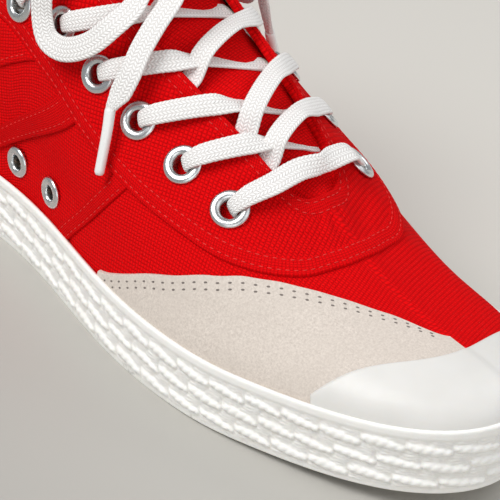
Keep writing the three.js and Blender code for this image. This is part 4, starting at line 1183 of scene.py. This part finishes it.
def make_overlays():
    t = 0.5 + STAY_END * (2 * cosine_steps(420) - 1)
    overlay("eyestay", t, stay_edge(t), top_of(t), stay_height, [STAY_WEAVE, TAPE_WEAVE, LINING], rows=44,
            inner=STAY_GAP, holes=True, tape=TAPE["breadth"], replaces=["eyestay"])
    half = HEEL_STRIP["half"]
    for name, side in SIDES:
        strip(f"seam_band_{name}", SEAM, side)
        strip(f"quarter_strap_{name}", STRAP, side)
        t = np.sort(mirror(half + PANEL["gap"] + (PANEL["front"] - half) * cosine_steps(120), side))
        low = panel_edge(t, side)
        beside_stay = mirror(t, side) > 0.5 - STAY_END - 0.012
        high = np.where(beside_stay, stay_edge(t) - 0.004, 1)
        high = np.minimum(s_from_rim(t, BINDING["drop"] + 0.6), high)
        overlay(f"ankle_panel_{name}", t, low, np.maximum(high, low + 0.004), flat(PANEL["thick"]), [WEAVE],
                replaces=[f"ankle_panel_{name}"])
    t = half * (2 * cosine_steps(24) - 1)
    overlay("heel_strip", t, band_top(t) - 0.01, s_from_rim(t, BINDING["drop"] + 0.4),
            flat(HEEL_STRIP["thick"]), [TAPE_WEAVE], replaces=["heel_strip"])


def make_binding():
    """Collar binding, folded over the upper's edge from one eyestay round the heel to the other."""
    end = 0.5 - STAY_END - 0.004
    t = np.linspace(-end, end, 200)[:, None]
    fold = np.linspace(0, 1, 29)[None]
    drop, leaf = BINDING["drop"], BINDING["flat"]
    down = np.clip(drop * (1 - fold / leaf), 0, None) + np.clip(drop * (fold - 1 + leaf) / leaf, 0, None)
    s = s_from_rim(t + 0 * fold, down)
    turn = np.clip((fold - leaf) / (1 - 2 * leaf), 0, 1) * math.pi
    up = unit(last(t, 1.0 + 0 * fold) - last(t, 0.98 + 0 * fold))
    side = normal(t, s)

    def layer(gap):
        half = WALL / 2 + gap
        place = last(t, s) - side * (WALL / 2)
        return place + side * (half * np.cos(turn))[..., None] + up * (half * np.sin(turn))[..., None]

    edge = rounded(np.minimum(fold, 1 - fold) * 2 * drop, 1.0)
    uv = np.stack(np.broadcast_arrays(t * 700, fold * 2 * drop), -1)
    make_sheet("collar_binding", layer(BINDING["gap"] + BINDING["thick"] * edge), layer(CLOSE + 0 * edge), uv,
               [TAPE_WEAVE], replaces=["collar_binding"])


# Tongue. It lies "sink" under the throat, tucked under both sides. Its top runs on back, up and outwards.
TONGUE = {
    "thick": 3.0, "tuck": 24.0, "sink": WALL + 1.2, "crown": 3.6, "front": 0.455, "back": 0.205, "edge": 1.6,
    "across": 40, "along": 46,
}
TONGUE_TOP = ((0, 0, 0), (6, 7, -5), (11, 14, -4), (14.5, 20, -1), (16, 23, -5))


def tongue_line(t, sink):
    """The tongue's section at t: under the inner side, up over the middle and under the outer side."""
    downs = (TONGUE["tuck"], TONGUE["tuck"] / 2, 0)
    near, far = ([skin(q, float(s_from_rim(q, d)), -sink) for d in downs] for q in (t, 1 - t))
    far = far[::-1]
    middle = (near[2] + far[0]) / 2 + UP * TONGUE["crown"]
    return smooth_line([[*p, 0] for p in (*near, middle, *far)], 0.5)[:, :3]


def resample(line, count):
    gone = distance_along(line)
    even = cosine_steps(count) * gone[-1]
    return np.stack([np.interp(even, gone, line[:, c]) for c in range(3)], -1)


def make_tongue():
    across = TONGUE["across"]
    stations = np.linspace(TONGUE["front"], TONGUE["back"], TONGUE["along"])
    at = np.linspace(0, 4, 22)[1:]
    moves = np.stack([np.interp(at, range(5), np.array(TONGUE_TOP, float)[:, c]) for c in range(3)], -1)
    layers = []
    for sink in (TONGUE["sink"], TONGUE["sink"] + TONGUE["thick"]):
        line = [resample(tongue_line(t, sink), across) for t in stations]
        last_line = line[-1]
        for back, up, spread in moves:
            p = last_line + [-back, 0, up]
            p[:, 1] += np.sign(last_line[:, 1]) * spread * np.abs(last_line[:, 1]) / 30
            line.append(p)
        layers.append(np.array(line))
    top, under = layers
    gone = distance_along(top[:, across // 2])[:, None]
    width = np.linalg.norm(top[:, -1] - top[:, 0], axis=-1)[:, None]
    q = cosine_steps(across)[None]
    to_edge = np.minimum(np.minimum(q, 1 - q) * width, gone[-1] - gone)
    edge = rounded(to_edge, TONGUE["edge"])[..., None]
    middle = (top + under) / 2
    uv = np.stack(np.broadcast_arrays((q - 0.5) * 60, gone), -1)
    outer, inner = (middle + (layer - middle) * edge for layer in (top, under))
    make_sheet("tongue", outer, inner, uv, [WEAVE, LINING], replaces=["tongue"])


# Stitches: small capsules set along rows by a node tree. Sizes are in mm, "over" is height on the upper.
STITCH = {"pitch": 2.5, "length": 1.6, "width": 0.34, "rise": 0.26}
GUARD_STITCH = {"pitch": 3.6, "length": 1.3, "width": 0.75, "rise": 0.2, "over": 1.27, "rows": (2.2, 4.1)}


def stitch_tree():
    tree = bpy.data.node_groups.new("stitches", "GeometryNodeTree")
    tree.interface.new_socket("Geometry", in_out="INPUT", socket_type="NodeSocketGeometry")
    for name in ("Length", "Width", "Rise"):
        tree.interface.new_socket(name, in_out="INPUT", socket_type="NodeSocketFloat")
    tree.interface.new_socket("Material", in_out="INPUT", socket_type="NodeSocketMaterial")
    tree.interface.new_socket("Geometry", in_out="OUTPUT", socket_type="NodeSocketGeometry")
    nodes = Nodes(tree)
    given = nodes.add("NodeGroupInput").outputs
    ball = nodes.add("GeometryNodeMeshUVSphere", {"Segments": 6, "Rings": 4, "Radius": 0.5}).outputs[0]
    sizes = {0: given["Length"], 1: given["Width"], 2: given["Rise"]}
    size = nodes.add("ShaderNodeCombineXYZ", sizes).outputs[0]
    read = "GeometryNodeInputNamedAttribute"
    along = nodes.add(read, {"Name": "along"}, data_type="FLOAT_VECTOR").outputs[0]
    up = nodes.add(read, {"Name": "up"}, data_type="FLOAT_VECTOR").outputs[0]
    axes = {"primary_axis": "Z", "secondary_axis": "X"}
    turn = nodes.add("FunctionNodeAxesToRotation", {0: up, 1: along}, **axes).outputs[0]
    placed = nodes.add("GeometryNodeInstanceOnPoints", {
        "Points": given["Geometry"], "Instance": ball, "Rotation": turn, "Scale": size}).outputs[0]
    real = nodes.add("GeometryNodeRealizeInstances", {0: placed}).outputs[0]
    smooth = nodes.add("GeometryNodeSetShadeSmooth", {0: real}).outputs[0]
    finish = {"Geometry": smooth, "Material": given["Material"]}
    done = nodes.add("GeometryNodeSetMaterial", finish).outputs[0]
    nodes.add("NodeGroupOutput", {0: done})
    return tree


def stitch_row(t, s, off, pitch=STITCH["pitch"]):
    """Stitch middles, directions and normals along a line on the last."""
    line = skin(t, s, off)
    gone = distance_along(line)
    even = np.arange(pitch / 2, gone[-1], pitch)
    tt, ss, oo = (np.interp(even, gone, np.broadcast_to(a, gone.shape)) for a in (t, s, off))
    place = skin(tt, ss, oo + relief(tt, ss, last(tt, ss)))
    return place, unit(np.gradient(place, axis=0)), normal(tt, ss)


def make_stitches(name, rows, material, sizes, tree):
    place, along, up = (np.concatenate(part) for part in zip(*rows))
    mesh = bpy.data.meshes.new(name)
    mesh.from_pydata((place - CENTRE) / 1000, [], [])
    for key, value in (("along", along), ("up", up)):
        mesh.attributes.new(key, "FLOAT_VECTOR", "POINT").data.foreach_set("vector", value.ravel())
    holder = bpy.data.objects.new(name + "_points", mesh)
    bpy.context.scene.collection.objects.link(holder)
    modifier = holder.modifiers.new("stitches", "NODES")
    modifier.node_group = tree
    sockets = {item.name: item.identifier for item in tree.interface.items_tree if item.in_out == "INPUT"}
    for key in ("length", "width", "rise"):
        modifier[sockets[key.capitalize()]] = sizes[key] / 1000
    modifier[sockets["Material"]] = material
    depsgraph = bpy.context.evaluated_depsgraph_get()
    real = bpy.data.meshes.new_from_object(holder.evaluated_get(depsgraph))
    bpy.data.objects.remove(holder)
    piece = bpy.data.objects.new(name, real)
    bpy.context.scene.collection.objects.link(piece)
    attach(piece, "root")


def red_rows():
    """The rows on the eyestay's two tapes, the strips, the ankle panels, the heel strip and the binding."""
    t = np.linspace(0.5 - STAY_END + 0.006, 0.5 + STAY_END - 0.006, 900)
    over = TAPE["cloth"] + TAPE["rise"] + 0.02
    rows = [stitch_row(t, s_from_rim(t, stay_breadth(t) - down), over) for down in TAPE["rows"]]
    lengths = long_lengths(t)
    steps = np.broadcast_to(LONG_STEPS, lengths.shape)
    top = on_lines(top_of(t), steps, lengths)
    rows += [stitch_row(t, on_lines(top - down, lengths, steps), over) for down in TAPE["rows"]]
    for _, side in SIDES:
        for size in (SEAM, STRAP):
            ends = strip_ends(size, side)
            s = np.linspace(ends[0] + 0.02, ends[1] - 0.02, 300)
            for q in (0.2, 0.8):
                rows.append(stitch_row(strip_middle(size, side, q, s, ends), s, size["thick"] + 0.05))
        t = np.sort(mirror(np.linspace(HEEL_STRIP["half"] + 0.01, PANEL["front"] - 0.006, 200), side))
        rows.append(stitch_row(t, panel_edge(t, side) + 0.03, PANEL["thick"] + CLOSE))
    for side in (-1, 1):
        t = side * (HEEL_STRIP["half"] - 0.0035) + np.zeros(80)
        rows.append(stitch_row(t, np.linspace(0.3, 0.85, 80), 1.2))
    t = np.linspace(-0.155, 0.155, 300)
    return rows + [stitch_row(t, s_from_rim(t, 4.6), 1.2)]


def guard_rows():
    """Two rows of stitch holes along the suede's upper edge, as far as the toe cap, drawn as dark marks of
    painted shade.
    """
    t = np.linspace(GUARD["from"] + 0.004, GUARD["to"] - 0.008, 340)
    rows = []
    for down in GUARD_STITCH["rows"]:
        s = s_from_foot(t, way_up(t, guard_edge(t)) - down)
        fits = (s > band_top(t) - 0.01) & (s > cap_edge(t) + 0.006)
        rows.append(stitch_row(t[fits], s[fits], GUARD_STITCH["over"], GUARD_STITCH["pitch"]))
    return rows


def make_all_stitches():
    tree = stitch_tree()
    make_stitches("red_stitches", red_rows(), RED_THREAD, STITCH, tree)
    make_stitches("guard_stitches", guard_rows(), HOLE_SHADE, GUARD_STITCH, tree)


# Finishes of the solids that stay

def dress_frame():
    for name, material in (("outsole", SOLE_RUBBER), ("insole", BED_CLOTH)):
        piece = bpy.data.objects[name]
        piece.data.materials.clear()
        piece.data.materials.append(material)


# Floor and light. The floor is painted darker on the near side as painted shade. Lamps: place, size and
# watts.
FLOOR = {"grey": (0.632, 0.611, 0.564), "near_shade": 0.56, "near": -0.17, "far": 0.08, "size": 12}
LAMPS = (
    ("key", (-0.25, -0.75, 1.15), 0.8, 14.6), ("fill", (1.1, 0.25, 0.8), 1.2, 3.3),
    ("back", (0.2, 1.0, 0.9), 0.8, 4.2), ("front", (0.75, -0.7, 0.25), 0.8, 2.2),
)
LAMPS_AIM = (0.03, 0, 0.04)
SKY = {"colour": (0.9, 0.92, 0.95, 1), "strength": 0.36}


def make_floor():
    bpy.ops.mesh.primitive_plane_add(size=FLOOR["size"], location=(0, 0, 0))
    floor = bpy.context.object
    floor.name = "floor"
    material, nodes, surface, place = new_material("floor grey", Roughness=0.9)
    across = nodes.add("ShaderNodeSeparateXYZ", {0: place.outputs["Object"]}).outputs[1]
    # Painted shade: the floor's colour darkens towards the near side.
    far = nodes.range(across, FLOOR["near"], FLOOR["far"], 0, 1)
    tone = nodes.mix(far, tuple(FLOOR["near_shade"] * c for c in FLOOR["grey"]), FLOOR["grey"])
    link(nodes, tone, surface, "Base Color")
    floor.data.materials.append(material)


def make_lights():
    for name, place, size, power in LAMPS:
        data = bpy.data.lights.new(name, "AREA")
        data.shape = "SQUARE"
        data.size = size
        data.energy = power
        lamp = bpy.data.objects.new(name, data)
        lamp.location = place
        aim = Vector(LAMPS_AIM) - Vector(place)
        lamp.rotation_euler = aim.to_track_quat("-Z", "Y").to_euler()
        bpy.context.scene.collection.objects.link(lamp)
    world = bpy.data.worlds.new("studio")
    world.use_nodes = True
    background = world.node_tree.nodes["Background"].inputs
    background[0].default_value = SKY["colour"]
    background[1].default_value = SKY["strength"]
    bpy.context.scene.world = world
    bpy.context.scene.view_settings.view_transform = "Standard"


make_camera()
make_floor()
make_lights()
make_bow()
make_lacing()
for side_name, side_sign in SIDES:
    for pair in range(EYELET["pairs"]):
        make_eyelet(f"lace_eyelet_{side_name}_{pair + 1}", eyelet_place(side_sign, pair), EYELET, STAY_FACE)
for number, vent_place in enumerate(VENT_PLACES):
    make_eyelet(f"vent_eyelet_{number + 1}", vent_place, VENT, QUARTER_FACE)
make_upper()
make_band()
make_toe()
make_overlays()
make_binding()
make_tongue()
make_all_stitches()
dress_frame()
